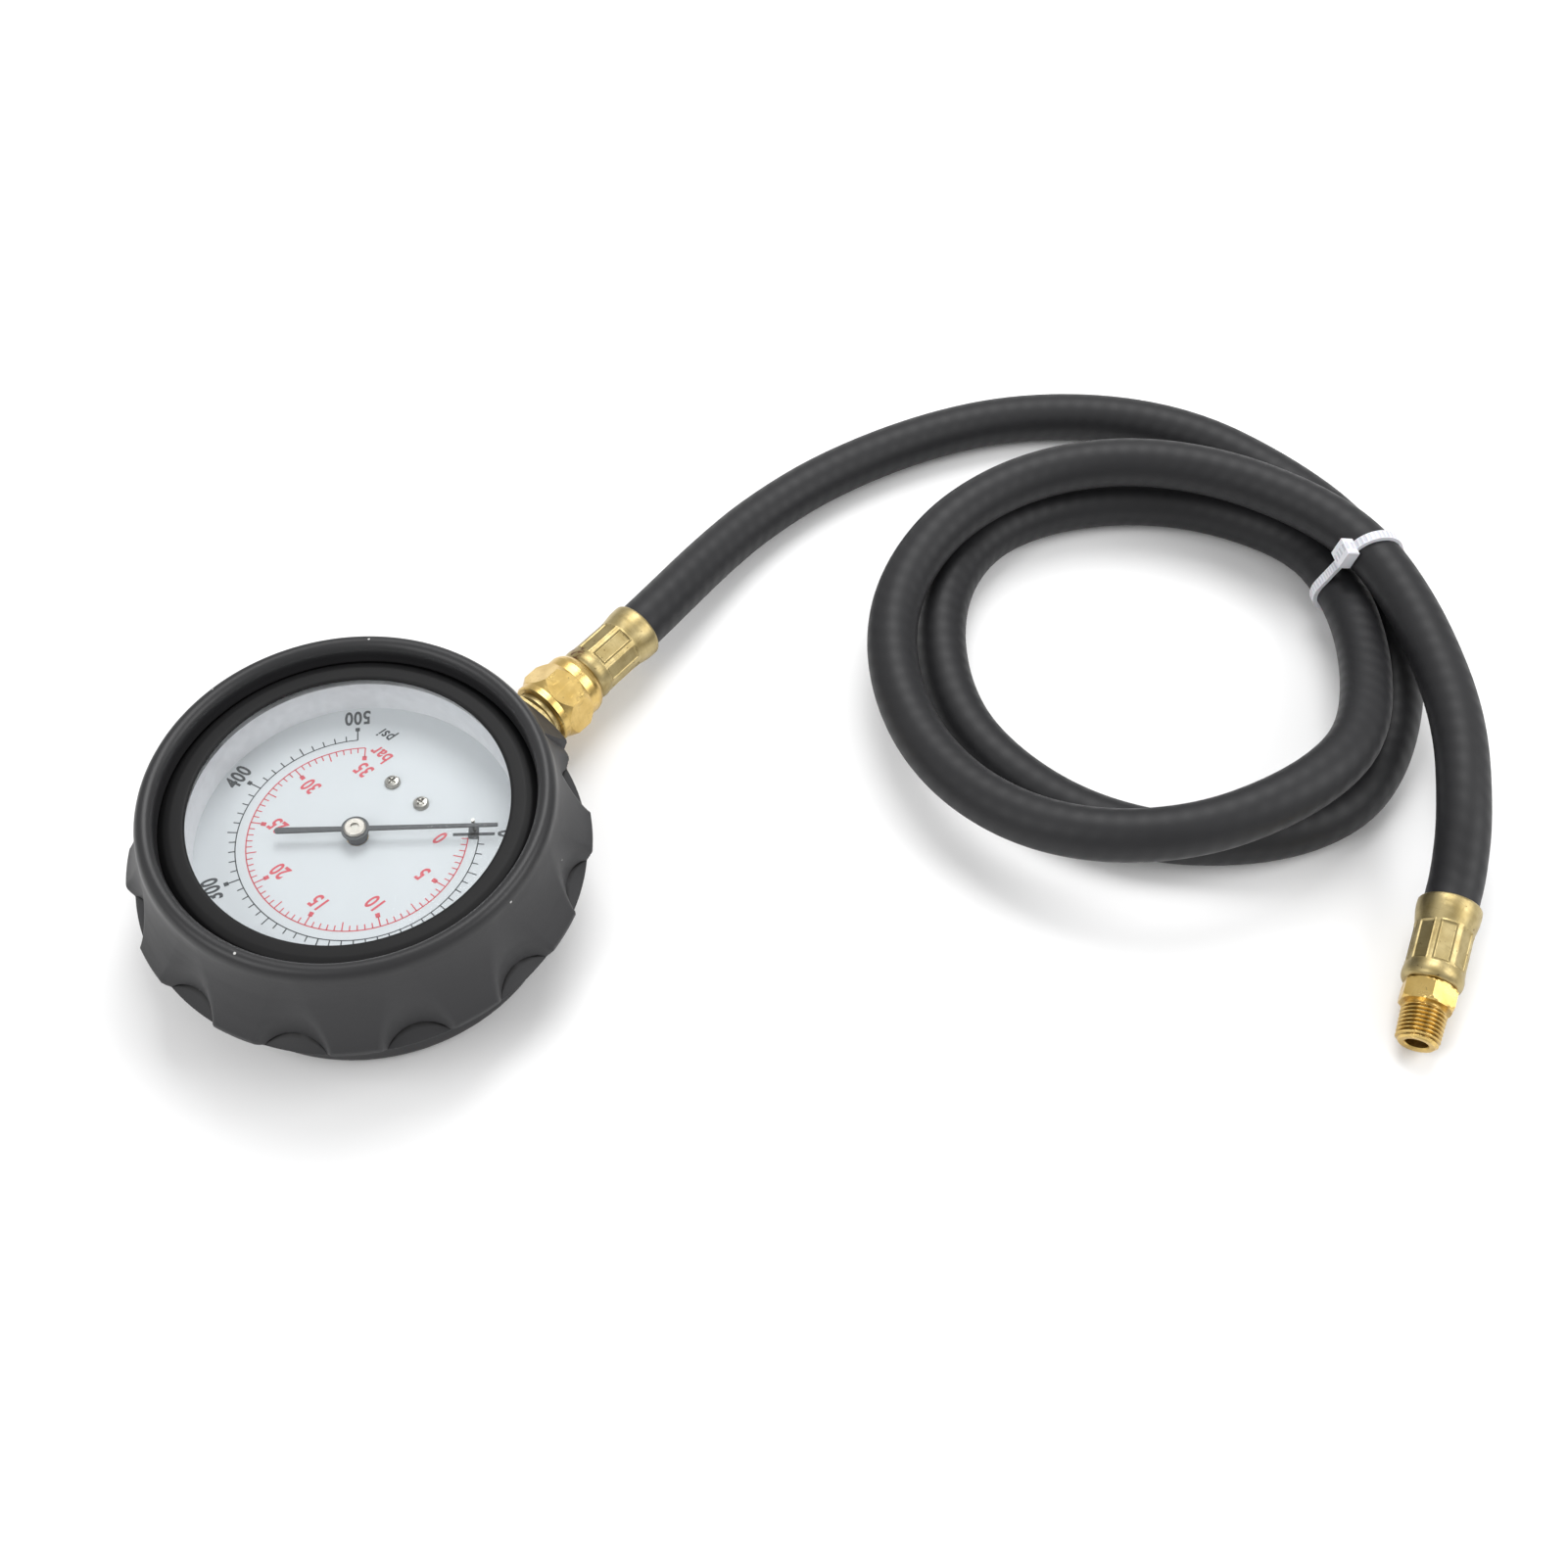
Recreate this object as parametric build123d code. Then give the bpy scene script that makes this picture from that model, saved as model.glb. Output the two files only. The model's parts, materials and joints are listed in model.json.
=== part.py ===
from build123d import *
import os
from math import acos, atan2, cos, degrees, hypot, pi, radians, sin, tan

# Engine oil pressure tester: an 80 mm pressure gauge in a rubber boot, lying face up, with a
# one metre rubber hose that is coiled twice, tied, and ends in a male thread adapter.
# Millimetres. +Z is the pointer's axis, -Y is the gauge's stem, and the boot's back lies on z = 0.

os.makedirs("parts", exist_ok=True)

# Heights over the table
BOOT_BACK = 2.6
STEM_Z = 12.0
GRIP_Z = 19.8
DIAL_TOP = 25.0
BEZEL_TOP = 37.0
LIP_TOP = 41.0

# Case, bezel and window
CASE_R = 39.8
CASE_WALL = 0.8
CASE_RIM_Z = 33.2
BEZEL_OPENING_R = 34.5
BEZEL_R = 41.4
WINDOW_R = 38.4
WINDOW_T = 2.0
GASKET_T = 0.6
DIAL_R = 37.6
DIAL_T = 0.8

# Rubber boot
BOOT_BACK_HOLE_R = 24.0
BOOT_CUP_R = 42.6
GRIP_R = 50.7
FLANGE_R = 49.4
FLANGE_Z = 17.4
LIP_INNER_R = 40.4
LIP_OUTER_R = 44.6
SCALLOPS = 12
SCALLOP_R = 10.4
SCALLOP_CENTRE_R = 56.7
SCALLOP_DRAFT = 3.0
CREST_FILLET = 1.2
CREASE_DEPTH = 0.5
CREASE_HEIGHT = 0.4
STEM_HOLE_R = 7.7
STEM_BOSS_R = 52.4
STEM_BOSS_HALF_WIDTH = 14.5
STEM_COLLAR_R = 9.3

# Stem and swivel nut
STEM_FLATS = 13.0
STEM_CORNER_R = 7.4
THREAD_R = 6.45
STEM_BORE_R = 2.0
FLATS_END = 54.1
THREAD_END = 64.7
NUT_START = 56.1
NUT_LENGTH = 13.8
NUT_FLATS = 15.9
NUT_COLLAR_R = 7.9
NUT_COLLAR = 1.9
NUT_TURN = 24.0
FIT = 0.1

# Hose and its end fittings
HOSE_R = 6.0
FERRULE_LENGTH = 19.8
CRIMP_FLATS = 8
NIPPLE_TAIL_R = 3.1
ADAPTER_FLATS = 11.1
ADAPTER_HEX_LENGTH = 5.0
PIPE_THREAD_R = 4.9
PIPE_THREAD_LENGTH = 8.8
ADAPTER_BORE_R = 2.5
HOSE_START = (0.0, -71.1, STEM_Z)
FAR_MOUTH = Vector(-190.54, -145.56, 11.0)
FAR_TILT = 10.3
FAR_HEADING = 109.25

# Coil and tie
COIL_CENTRE = (-99.0, -162.2)
COIL_INNER_R = 40.0
COIL_OUTER_R = 68.0
COIL_HEIGHT = 29.0
TIE_CENTRE = (-127.0, -214.0)
TIE_HEADING = 141.05
TIE_WIDTH = 2.4
TIE_THICKNESS = 1.1
TIE_HEAD_TURN = 164.0
TIE_HEAD_LENGTH = 5.4
TIE_HEAD_WIDTH = 5.0
TIE_HEAD_HEIGHT = 3.2

# Movement
MODULE = 0.35
PINION_TEETH = 12
SECTOR_TEETH_ROUND = 120
PRESSURE_ANGLE = 20.0
BACKLASH = 0.07
CENTRE_DISTANCE = MODULE * (PINION_TEETH + SECTOR_TEETH_ROUND) / 2
SECTOR_PIVOT_ANGLE = -60.0
SECTOR_SWING = 27.0
TAIL_ARM = 9.0
BACK_PLATE_Z = 14.0
PLATE_T = 1.2
FRONT_PLATE_Z = DIAL_TOP - DIAL_T - PLATE_T
SECTOR_Z = 17.0
SECTOR_T = 1.2
SPINDLE_R = 1.0
PILLARS = [(-6.5, -17.0), (17.3, -13.1), (-7.5, -3.0)]
PLATE_SCREWS = [(0.0, -21.5), (9.5, -13.5)]
DIAL_SCREW_R = 15.6
DIAL_SCREW_HALF_ANGLE = 16.7
TUBE_R = 31.0
TUBE_WIDTH = 10.0
TUBE_DEPTH = 3.4
TUBE_START = -102.0
TUBE_END = -8.0

# Pointer, at zero
POINTER_ANGLE = -138.5
POINTER_Z = 27.9
POINTER_T = 0.5
POINTER_TIP = 30.8
POINTER_TAIL = 17.4
STOP_R = 25.4
STOP_PIN_R = 0.4


def put(shape, name):
    shape.label = name
    export_step(shape, f"parts/{name}.step")


def disc(radius, bottom, top, x=0.0, y=0.0):
    """Upright cylinder between two heights."""
    return Pos(x, y, bottom) * extrude(Circle(radius), top - bottom)


def bar(x0, x1, y0, y1, z0, z1):
    """Box between six coordinates."""
    return Pos((x0 + x1) / 2, (y0 + y1) / 2, (z0 + z1) / 2) * Box(x1 - x0, y1 - y0, z1 - z0)


def turned(points):
    """Solid of revolution about Z from an outline of (radius, height) points."""
    outline = make_face(Polyline(*[(r, 0, z) for r, z in points], close=True))
    return revolve(outline, Axis.Z)


def along_stem(shape):
    """Turns a shape made along +Z from the origin so that it runs along the stem, -Y."""
    return Pos(0, 0, STEM_Z) * Rot(90, 0, 0) * shape


def stem_cylinder(radius, start, end):
    """Cylinder along the stem between two distances from the gauge's axis."""
    return along_stem(extrude(Pos(0, 0, start) * Circle(radius), end - start))


def polar(radius, angle):
    return (radius * cos(radians(angle)), radius * sin(radians(angle)))


def hexagon_bar(flats, length):
    """Hexagonal bar along +Z with turned 30 degree corners at both ends."""
    bar_solid = extrude(RegularPolygon(flats / 2, 6, major_radius=False), length)
    tip = flats / 2 / cos(radians(30))
    drop = (tip - flats / 2) * tan(radians(30))
    envelope = turned([
        (0, 0), (flats / 2, 0), (tip, drop), (tip, length - drop), (flats / 2, length), (0, length),
    ])
    return bar_solid & envelope


# Boot, case, bezel and window

def is_crest(edge):
    """True for the edges where a scallop meets the flared wall."""
    centre = edge.center()
    inside = GRIP_Z + 1.2 < centre.Z < 35.5 and 45.0 < hypot(centre.X, centre.Y) < GRIP_R + 0.1
    return inside and edge.bounding_box().size.Z > 0.5


def boot_wall(rim_r):
    """Outside of the boot as one turned solid: cup, cone under the flange, flared wall and rolled lip."""
    reach = rim_r - GRIP_R
    outer = [
        Line((0, 0, 0), (39.4, 0, 0)),
        ThreePointArc((39.4, 0, 0), (41.7, 0, 0.95), (BOOT_CUP_R, 0, 3.2)),
        Line((BOOT_CUP_R, 0, 3.2), (BOOT_CUP_R, 0, 15.0)),
        ThreePointArc((BOOT_CUP_R, 0, 15.0), (43.3, 0, 16.6), (45.0, 0, 17.2)),
        Line((45.0, 0, 17.2), (FLANGE_R + reach - 0.4, 0, 17.2)),
        Line((FLANGE_R + reach - 0.4, 0, 17.2), (FLANGE_R + reach, 0, FLANGE_Z + 0.2)),
        Line((FLANGE_R + reach, 0, FLANGE_Z + 0.2), (rim_r, 0, 19.5)),
        Line((rim_r, 0, 19.5), (rim_r, 0, 20.6)),
        Spline(
            (rim_r, 0, 20.6), (48.0 + reach * 0.6, 0, 25.6), (45.9, 0, 31.6), (LIP_OUTER_R, 0, 38.2),
            tangents=[(-0.62, 0, 1), (-0.08, 0, 1)],
        ),
        ThreePointArc((LIP_OUTER_R, 0, 38.2), (43.9, 0, 40.2), (42.4, 0, LIP_TOP)),
        ThreePointArc((42.4, 0, LIP_TOP), (41.0, 0, 40.4), (LIP_INNER_R, 0, 38.9)),
        Line((LIP_INNER_R, 0, 38.9), (0, 0, 38.9)),
        Line((0, 0, 38.9), (0, 0, 0)),
    ]
    return revolve(make_face(Wire(outer)), Axis.Z)


def rubber_boot():
    """Moulded cup with a flared, scalloped grip, sloping ledges, a rolled lip and a boss for the stem."""
    body = boot_wall(GRIP_R)
    # Above the ledges: a cone that falls from the crease out to the flange's rim
    above_ledge = turned([(44.0, 21.5), (62.0, 8.9), (62.0, 50.0), (44.0, 50.0)])
    scallop = Pos(SCALLOP_CENTRE_R, 0, 10) * extrude(Circle(SCALLOP_R - 0.5), 40, taper=-SCALLOP_DRAFT)
    crease = Pos(SCALLOP_CENTRE_R, 0, GRIP_Z) * extrude(Circle(SCALLOP_R + CREASE_DEPTH), CREASE_HEIGHT)
    turns = [Rot(0, 0, -90 + k * 360 / SCALLOPS) for k in range(1, SCALLOPS)]
    body -= [turn * (scallop & above_ledge) for turn in turns]
    crests = [e for e in body.edges() if is_crest(e)]
    body = fillet(crests, CREST_FILLET)
    body -= [turn * crease for turn in turns]
    w = STEM_BOSS_HALF_WIDTH
    body += boot_wall(STEM_BOSS_R) & bar(-w, w, -60, -40, 3.2, 34.0)
    body += stem_cylinder(STEM_COLLAR_R, 41, STEM_BOSS_R - 1.6)
    cavity = turned([
        (0, BOOT_BACK), (CASE_R + 0.1, BOOT_BACK), (CASE_R + 0.1, 27.4), (BEZEL_R + 0.1, 27.4),
        (BEZEL_R + 0.1, 35.2), (LIP_INNER_R, 35.7), (LIP_INNER_R, 42), (0, 42),
    ])
    return body - cavity - disc(BOOT_BACK_HOLE_R, -1, 4) - stem_cylinder(STEM_HOLE_R, 36, 54)


def case_screw_places():
    return [(-7.5, -17.5), (12.0, -15.0)]


def gauge_case():
    """Drawn steel cup with a rolled back edge, the stem's hole and a vent hole for the plug."""
    z0 = BOOT_BACK
    shell = turned([
        (0, z0), (CASE_R - 1.6, z0), (CASE_R - 0.5, z0 + 0.5), (CASE_R, z0 + 1.6), (CASE_R, CASE_RIM_Z),
        (CASE_R - CASE_WALL, CASE_RIM_Z), (CASE_R - CASE_WALL, z0 + 1.9), (CASE_R - 1.1, z0 + 1.1),
        (CASE_R - 1.9, z0 + CASE_WALL), (0, z0 + CASE_WALL),
    ])
    shell -= stem_cylinder(7.4, 30, 45)
    shell -= disc(4.0, 0, 5, 0, 14)
    for x, y in case_screw_places():
        shell -= disc(2.1, 0, 5, x, y)
    return shell


def bezel_ring():
    """Turned and blackened ring that twists over the case rim and holds the window down."""
    top = BEZEL_TOP
    return turned([
        (BEZEL_OPENING_R, top - 0.9), (BEZEL_OPENING_R + 0.15, top - 0.3), (BEZEL_OPENING_R + 0.6, top),
        (37.6, top), (38.9, top - 0.5), (BEZEL_R - 0.3, top - 2.5), (BEZEL_R, top - 2.9), (BEZEL_R, 27.6),
        (CASE_R + 0.05, 27.6), (CASE_R + 0.05, top - 1.2), (36.0, top - 1.2),
    ])


def window():
    z = BEZEL_TOP - 1.2 - WINDOW_T
    return chamfer(disc(WINDOW_R, z, z + WINDOW_T).edges(), 0.2)


def window_gasket():
    z = CASE_RIM_Z
    return turned([(37.2, z), (CASE_R, z), (CASE_R, z + GASKET_T), (37.2, z + GASKET_T)])


def spacer_ring():
    """White ring that stands on the dial and keeps it down."""
    z = DIAL_TOP
    return turned([(35.3, z), (36.6, z), (36.6, CASE_RIM_Z + GASKET_T), (35.3, CASE_RIM_Z + GASKET_T)])


def blowout_plug():
    """Rubber plug in the case's back, pushed in from outside and held by its bead."""
    z = BOOT_BACK
    return turned([
        (0, z - 1.0), (4.8, z - 1.0), (5.4, z - 0.5), (5.4, z), (4.0, z), (4.0, z + CASE_WALL),
        (4.6, z + CASE_WALL + 0.1), (3.8, z + 2.4), (0, z + 2.4),
    ]).moved(Location((0, 14, 0)))


def pan_head_screw(head_r, head_h, shank_r, shank_length):
    """Screw with its head's underside at z = 0, the head upward and a cross recess."""
    head = turned([
        (0, 0), (head_r, 0), (head_r, head_h * 0.45), (head_r * 0.8, head_h * 0.85), (head_r * 0.4, head_h), (0, head_h),
    ])
    slot = Pos(0, 0, head_h - 0.15) * Box(head_r * 1.2, head_r * 0.28, head_h * 1.0)
    return head + disc(shank_r, -shank_length, 0) - slot - Rot(0, 0, 90) * slot


# Stem, tube and movement

def socket_block():
    """Brass forging: threaded shank outside, body inside with the tube's slot and a platform."""
    square = extrude(Rectangle(STEM_FLATS, STEM_FLATS) & Circle(STEM_CORNER_R), FLATS_END - 43.0)
    shank = Pos(0, 0, 43.0) * square
    neck = Pos(0, 0, 36.0) * extrude(Circle(7.0), 7.0)
    thread = turned([
        (0, FLATS_END), (5.7, FLATS_END), (THREAD_R, FLATS_END + 0.8), (THREAD_R, THREAD_END - 0.9),
        (THREAD_R - 0.9, THREAD_END), (0, THREAD_END),
    ])
    outside = along_stem(shank + neck + thread)
    z0 = BOOT_BACK + CASE_WALL
    body = bar(-9, 9, -37.6, -24.6, z0, 18.0)
    platform = bar(-11.5, 17.5, -26, -8.5, z0, BACK_PLATE_Z)
    platform = fillet(platform.edges().filter_by(Axis.Z), 2.0)
    inside = (body + platform) & disc(CASE_R - 2.1, 0, 30)
    block = outside + inside
    block -= stem_cylinder(STEM_BORE_R, 29, 69)
    slot_wide = turned([
        (TUBE_R - 1.95, STEM_Z - 5.25), (TUBE_R + 1.95, STEM_Z - 5.25), (TUBE_R + 1.95, 30), (TUBE_R - 1.95, 30),
    ])
    block -= slot_wide & bar(-20, -5, -40, -20, 0, 30)
    for x, y in PLATE_SCREWS:
        block -= disc(1.0, BACK_PLATE_Z - 5, BACK_PLATE_Z + 1, x, y)
    for x, y in case_screw_places():
        block -= disc(1.6, 0, z0 + 6, x, y)
    return block


def flat_tube(radius, width, depth, start, sweep):
    """Oval tube wall bent to an arc, as a partial revolve of an ellipse."""
    section = Pos(radius, 0, STEM_Z) * Rot(90, 0, 0) * Ellipse(depth / 2, width / 2)
    return Rot(0, 0, start) * revolve(section, Axis.Z, revolution_arc=sweep)


def bourdon_tube():
    """Bronze tube, flattened and bent into a C from the socket clockwise to its free tip."""
    sweep = (TUBE_START - TUBE_END) % 360
    outer = flat_tube(TUBE_R, TUBE_WIDTH, TUBE_DEPTH, TUBE_END, sweep)
    inner = flat_tube(TUBE_R, TUBE_WIDTH - 0.9, TUBE_DEPTH - 0.9, TUBE_END, sweep)
    return outer - inner


def tip_pin_place():
    return polar(TUBE_R, -15.0)


def arm_end(turn):
    """Place of the sector's tail pin after the sector has turned by this many degrees."""
    sx, sy = polar(CENTRE_DISTANCE, SECTOR_PIVOT_ANGLE)
    ax, ay = polar(TAIL_ARM, turn - SECTOR_SWING / 2)
    return (sx + ax, sy + ay)


def tube_tip():
    """Brass end piece that closes the tube and carries a boss for the link."""
    cap = turned([
        (TUBE_R - 2.3, STEM_Z - 5.6), (TUBE_R + 2.3, STEM_Z - 5.6),
        (TUBE_R + 2.3, STEM_Z + 5.6), (TUBE_R - 2.3, STEM_Z + 5.6),
    ])
    wedge = extrude(make_face(Polyline((0, 0), polar(60, -19.5), polar(60, TUBE_END - 0.05), close=True)), 30)
    x, y = tip_pin_place()
    return (cap & wedge) + disc(1.9, STEM_Z + 5, SECTOR_Z + SECTOR_T + 0.1, x, y)


def eye_plate(p, q, z, thickness, width, hole_p, hole_q):
    """Flat link with a round eye at each end."""
    length = hypot(q[0] - p[0], q[1] - p[1])
    angle = degrees(atan2(q[1] - p[1], q[0] - p[0]))
    flat = SlotCenterToCenter(length, width)
    blade = Pos((p[0] + q[0]) / 2, (p[1] + q[1]) / 2, z) * Rot(0, 0, angle) * extrude(flat, thickness)
    return blade - disc(hole_p, z - 1, z + thickness + 1, *p) - disc(hole_q, z - 1, z + thickness + 1, *q)


LINK_Z = SECTOR_Z + SECTOR_T + 0.2
LINK_T = 0.8
LINK_PIN_R = 0.6


def link():
    """Flat link from the tube's tip to the sector's tail, with a wide eye at the tail."""
    return eye_plate(tip_pin_place(), arm_end(0), LINK_Z, LINK_T, 3.4, LINK_PIN_R + 0.05, LINK_PIN_R + 0.35)


def headed_pin(x, y, z0, z1, head_z):
    """Rivet: a thin shank with a flat head on top."""
    return disc(LINK_PIN_R, z0, z1, x, y) + disc(1.3, head_z, head_z + 0.5, x, y)


def tip_pin():
    x, y = tip_pin_place()
    top = LINK_Z + LINK_T + 0.1
    return headed_pin(x, y, SECTOR_Z + SECTOR_T + 0.1, top, top)


def tail_pin():
    x, y = arm_end(0)
    top = LINK_Z + LINK_T + 0.1
    return headed_pin(x, y, SECTOR_Z - 0.3, top, top)


def involute(base_r, r):
    """Angle that an involute has turned when it reaches radius r."""
    a = acos(min(1.0, base_r / r))
    return tan(a) - a


def gear_tooth(pitch_r, root_r, tip_r, teeth):
    """One tooth about +X, with involute flanks from a common base circle and radial feet."""
    base_r = pitch_r * cos(radians(PRESSURE_ANGLE))
    half = pi / teeth / 2 - BACKLASH / 2 / pitch_r + involute(base_r, pitch_r)
    low = max(base_r, root_r)
    steps = 4
    radii = [low + (tip_r - low) * k / steps for k in range(steps + 1)]
    flank = [(r, half - involute(base_r, r)) for r in radii]
    if root_r < base_r:
        flank = [(root_r, flank[0][1])] + flank
    upper = [(r * cos(a), r * sin(a)) for r, a in flank]
    lower = [(x, -y) for x, y in reversed(upper)]
    foot = (root_r * 0.8, 0)
    return make_face(Polyline(foot, *upper, *lower, close=True))


def sector_gear():
    """Brass quadrant with thirteen teeth and a tail arm, drawn at rest."""
    pitch_r = MODULE * SECTOR_TEETH_ROUND / 2
    root_r = pitch_r - 0.42
    tip_r = pitch_r + 0.22
    tooth = gear_tooth(pitch_r, root_r, tip_r, SECTOR_TEETH_ROUND)
    facing = SECTOR_PIVOT_ANGLE + 180 - SECTOR_SWING / 2
    pitch = 360 / SECTOR_TEETH_ROUND
    blank = make_face(Polyline((0, 0), polar(40, -20.0), polar(40, 20.0), close=True)) & Circle(root_r + 0.02)
    window_cut = make_face(Polyline((0, 0), polar(40, -12.0), polar(40, 12.0), close=True))
    window_cut = window_cut & (Circle(root_r - 3.0) - Circle(7.0))
    plate = blank - window_cut
    for k in range(-6, 7):
        plate += Rot(0, 0, k * pitch) * tooth
    gear = Rot(0, 0, facing) * extrude(plate, SECTOR_T)
    sx, sy = polar(CENTRE_DISTANCE, SECTOR_PIVOT_ANGLE)
    gear = Pos(sx, sy, SECTOR_Z) * gear + disc(3.2, SECTOR_Z, SECTOR_Z + SECTOR_T, sx, sy)
    x, y = arm_end(0)
    tail = eye_plate((sx, sy), (x, y), SECTOR_Z, SECTOR_T, 3.6, 1.2, LINK_PIN_R)
    return (gear + tail) - disc(1.2, 10, 30, sx, sy)


def sector_arbor():
    sx, sy = polar(CENTRE_DISTANCE, SECTOR_PIVOT_ANGLE)
    top = FRONT_PLATE_Z + PLATE_T
    return (
        disc(1.2, BACK_PLATE_Z + PLATE_T + 0.1, FRONT_PLATE_Z - 0.1, sx, sy)
        + disc(0.8, BACK_PLATE_Z + 0.1, top - 0.1, sx, sy)
    )


def pinion_spindle():
    """Steel spindle with the pinion's leaves cut on it, standing through both plates and the dial."""
    pitch_r = MODULE * PINION_TEETH / 2
    tooth = gear_tooth(pitch_r, pitch_r - 0.45, pitch_r + 0.3, PINION_TEETH)
    section = Circle(pitch_r - 0.43)
    # A tooth space faces the sector's middle tooth at mid swing, half a pointer turn range from rest
    ratio = SECTOR_TEETH_ROUND / PINION_TEETH
    space = SECTOR_PIVOT_ANGLE + 360 / PINION_TEETH / 2 + ratio * SECTOR_SWING / 2
    for k in range(PINION_TEETH):
        section += Rot(0, 0, space + k * 360 / PINION_TEETH) * tooth
    leaves = Pos(0, 0, 15.6) * extrude(section, 4.0)
    pivot = disc(0.7, BACK_PLATE_Z + 0.1, 15.7)
    return leaves + pivot + disc(SPINDLE_R, 19.5, POINTER_Z + POINTER_T + 0.2)


def hull_plate(z, circles):
    """Plate whose outline is the tight band round a list of circles (x, y, r)."""
    edges = []
    for x, y, r in circles:
        edges += (Pos(x, y) * Circle(r)).edges()
    return Pos(0, 0, z) * extrude(make_hull(edges), PLATE_T)


def movement_plate(z, front):
    sx, sy = polar(CENTRE_DISTANCE, SECTOR_PIVOT_ANGLE)
    circles = [(0, 0, 4.5), (sx, sy, 4.0)] + [(x, y, 3.0) for x, y in PILLARS]
    if front:
        circles += [(*p, 2.6) for p in dial_screw_places()]
    else:
        circles += [(x, y, 2.8) for x, y in PLATE_SCREWS]
    plate = hull_plate(z, circles)
    for x, y in PILLARS:
        plate -= disc(0.9, z - 1, z + 2, x, y)
    plate -= disc(0.8 + FIT / 2, z - 1, z + 2, sx, sy)
    plate -= disc((SPINDLE_R if front else 0.7) + FIT / 2, z - 1, z + 2)
    for x, y in (dial_screw_places() if front else PLATE_SCREWS):
        plate -= disc(0.9 if front else 1.1, z - 1, z + 2, x, y)
    return plate


def dial_screw_places():
    return [polar(DIAL_SCREW_R, -90 + s * DIAL_SCREW_HALF_ANGLE) for s in (-1, 1)]


def movement_pillars():
    low, high = BACK_PLATE_Z, FRONT_PLATE_Z + PLATE_T
    return [
        disc(1.6, low + PLATE_T, FRONT_PLATE_Z, x, y) + disc(0.9, low, high, x, y)
        for x, y in PILLARS
    ]


def hairspring():
    """Flat spiral spring round the spindle, from its collet outwards."""
    turns, inner, outer = 4, 2.0, 5.2
    points = []
    for k in range(turns * 12 + 1):
        a = 30 * k
        points.append(polar(inner + (outer - inner) * k / (turns * 12), a))
    path = Spline(*points)
    ribbon = trace(path, 0.14)
    return Pos(0, 0, 20.4) * extrude(ribbon, 0.5)


def hairspring_collet():
    return disc(1.95, 20.2, 21.2) - disc(SPINDLE_R, 20, 22)


# Dial and pointer

def dial_plate():
    plate = disc(DIAL_R, DIAL_TOP - DIAL_T, DIAL_TOP) - disc(2.4, 20, 30)
    for x, y in dial_screw_places():
        plate -= disc(1.1, 20, 30, x, y)
    x, y = stop_place()
    return plate - disc(STOP_PIN_R, 20, 30, x, y)


def stop_place():
    """The stop stands just behind the resting pointer, on the side away from the scale."""
    side = STOP_PIN_R + 0.6
    a = radians(POINTER_ANGLE)
    return (STOP_R * cos(a) - side * sin(a), STOP_R * sin(a) + side * cos(a))


def stop_pin():
    x, y = stop_place()
    return disc(STOP_PIN_R, DIAL_TOP - DIAL_T, POINTER_Z + 0.9, x, y)


def pointer():
    """Blackened aluminium pointer: slim arm, hub disc and a slightly wider rounded tail."""
    arm = make_face(Polyline((0, -0.55), (POINTER_TIP, -0.38), (POINTER_TIP, 0.38), (0, 0.55), close=True))
    tail = make_face(Polyline((0, -0.5), (-POINTER_TAIL + 0.7, -0.7), (-POINTER_TAIL + 0.7, 0.7), (0, 0.5), close=True))
    flat = arm + tail + Pos(-POINTER_TAIL + 0.7, 0) * Circle(0.7) + Circle(3.05)
    return Pos(0, 0, POINTER_Z) * Rot(0, 0, POINTER_ANGLE) * extrude(flat, POINTER_T) - disc(1.3, 20, 30)


def pointer_bush():
    """Turned bush pressed on the spindle: collar under the pointer, riveted cap over it."""
    z, t = POINTER_Z, POINTER_T
    return turned([
        (SPINDLE_R, z - 2.1), (1.9, z - 2.1), (2.3, z - 1.7), (2.3, z), (1.3, z), (1.3, z + t), (2.45, z + t),
        (2.45, z + t + 0.3), (2.1, z + t + 0.6), (SPINDLE_R, z + t + 0.6),
    ])


# Hose, fittings and tie

def swivel_nut():
    """Brass swivel nut: collar, hexagon with cone-cut corners and a rounded collar that holds the nipple."""
    length, collar, r = NUT_LENGTH, NUT_COLLAR, NUT_COLLAR_R
    cone = 0.65
    envelope = turned([
        (0, 0), (r - 0.3, 0), (r, 0.3), (r, collar), (r + 2.0 * cone, collar + 2.0),
        (r + 2.0 * cone, length - 6.2), (r, length - 4.2), (r, length - 1.9), (r - 0.3, length - 0.9),
        (r - 0.9, length), (0, length),
    ])
    hexagon = Rot(0, 0, NUT_TURN) * extrude(RegularPolygon(NUT_FLATS / 2, 6, major_radius=False), length)
    middle = hexagon & turned([(0, collar), (20, collar), (20, length - 4.2), (0, length - 4.2)])
    nut = envelope & (middle + extrude(Circle(r), length))
    seat = length - 2.2
    bore = turned([
        (0, -1), (THREAD_R + FIT, -1), (THREAD_R + FIT, seat), (4.2, seat), (4.2, length + 1), (0, length + 1),
    ])
    return along_stem(Pos(0, 0, NUT_START) * (nut - bore))


def hose_nipple():
    """Brass insert: flange in the nut, neck under the ferrule and a barbed tail in the hose."""
    face = THREAD_END + 0.05
    inner = NUT_START + NUT_LENGTH - 2.3
    tail = -HOSE_START[1]
    outline = [
        (STEM_BORE_R, face), (5.6, face), (6.2, face + 0.6), (6.2, inner), (4.1, inner), (4.1, tail - 0.1),
        (NIPPLE_TAIL_R, tail - 0.1),
    ]
    for k in range(4):
        y = tail + 3.4 + 3.4 * k
        outline += [(NIPPLE_TAIL_R - 0.35, y - 3.2), (NIPPLE_TAIL_R, y)]
    outline += [(2.6, tail + 15.0), (STEM_BORE_R, tail + 15.0)]
    return along_stem(turned(outline))


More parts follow.
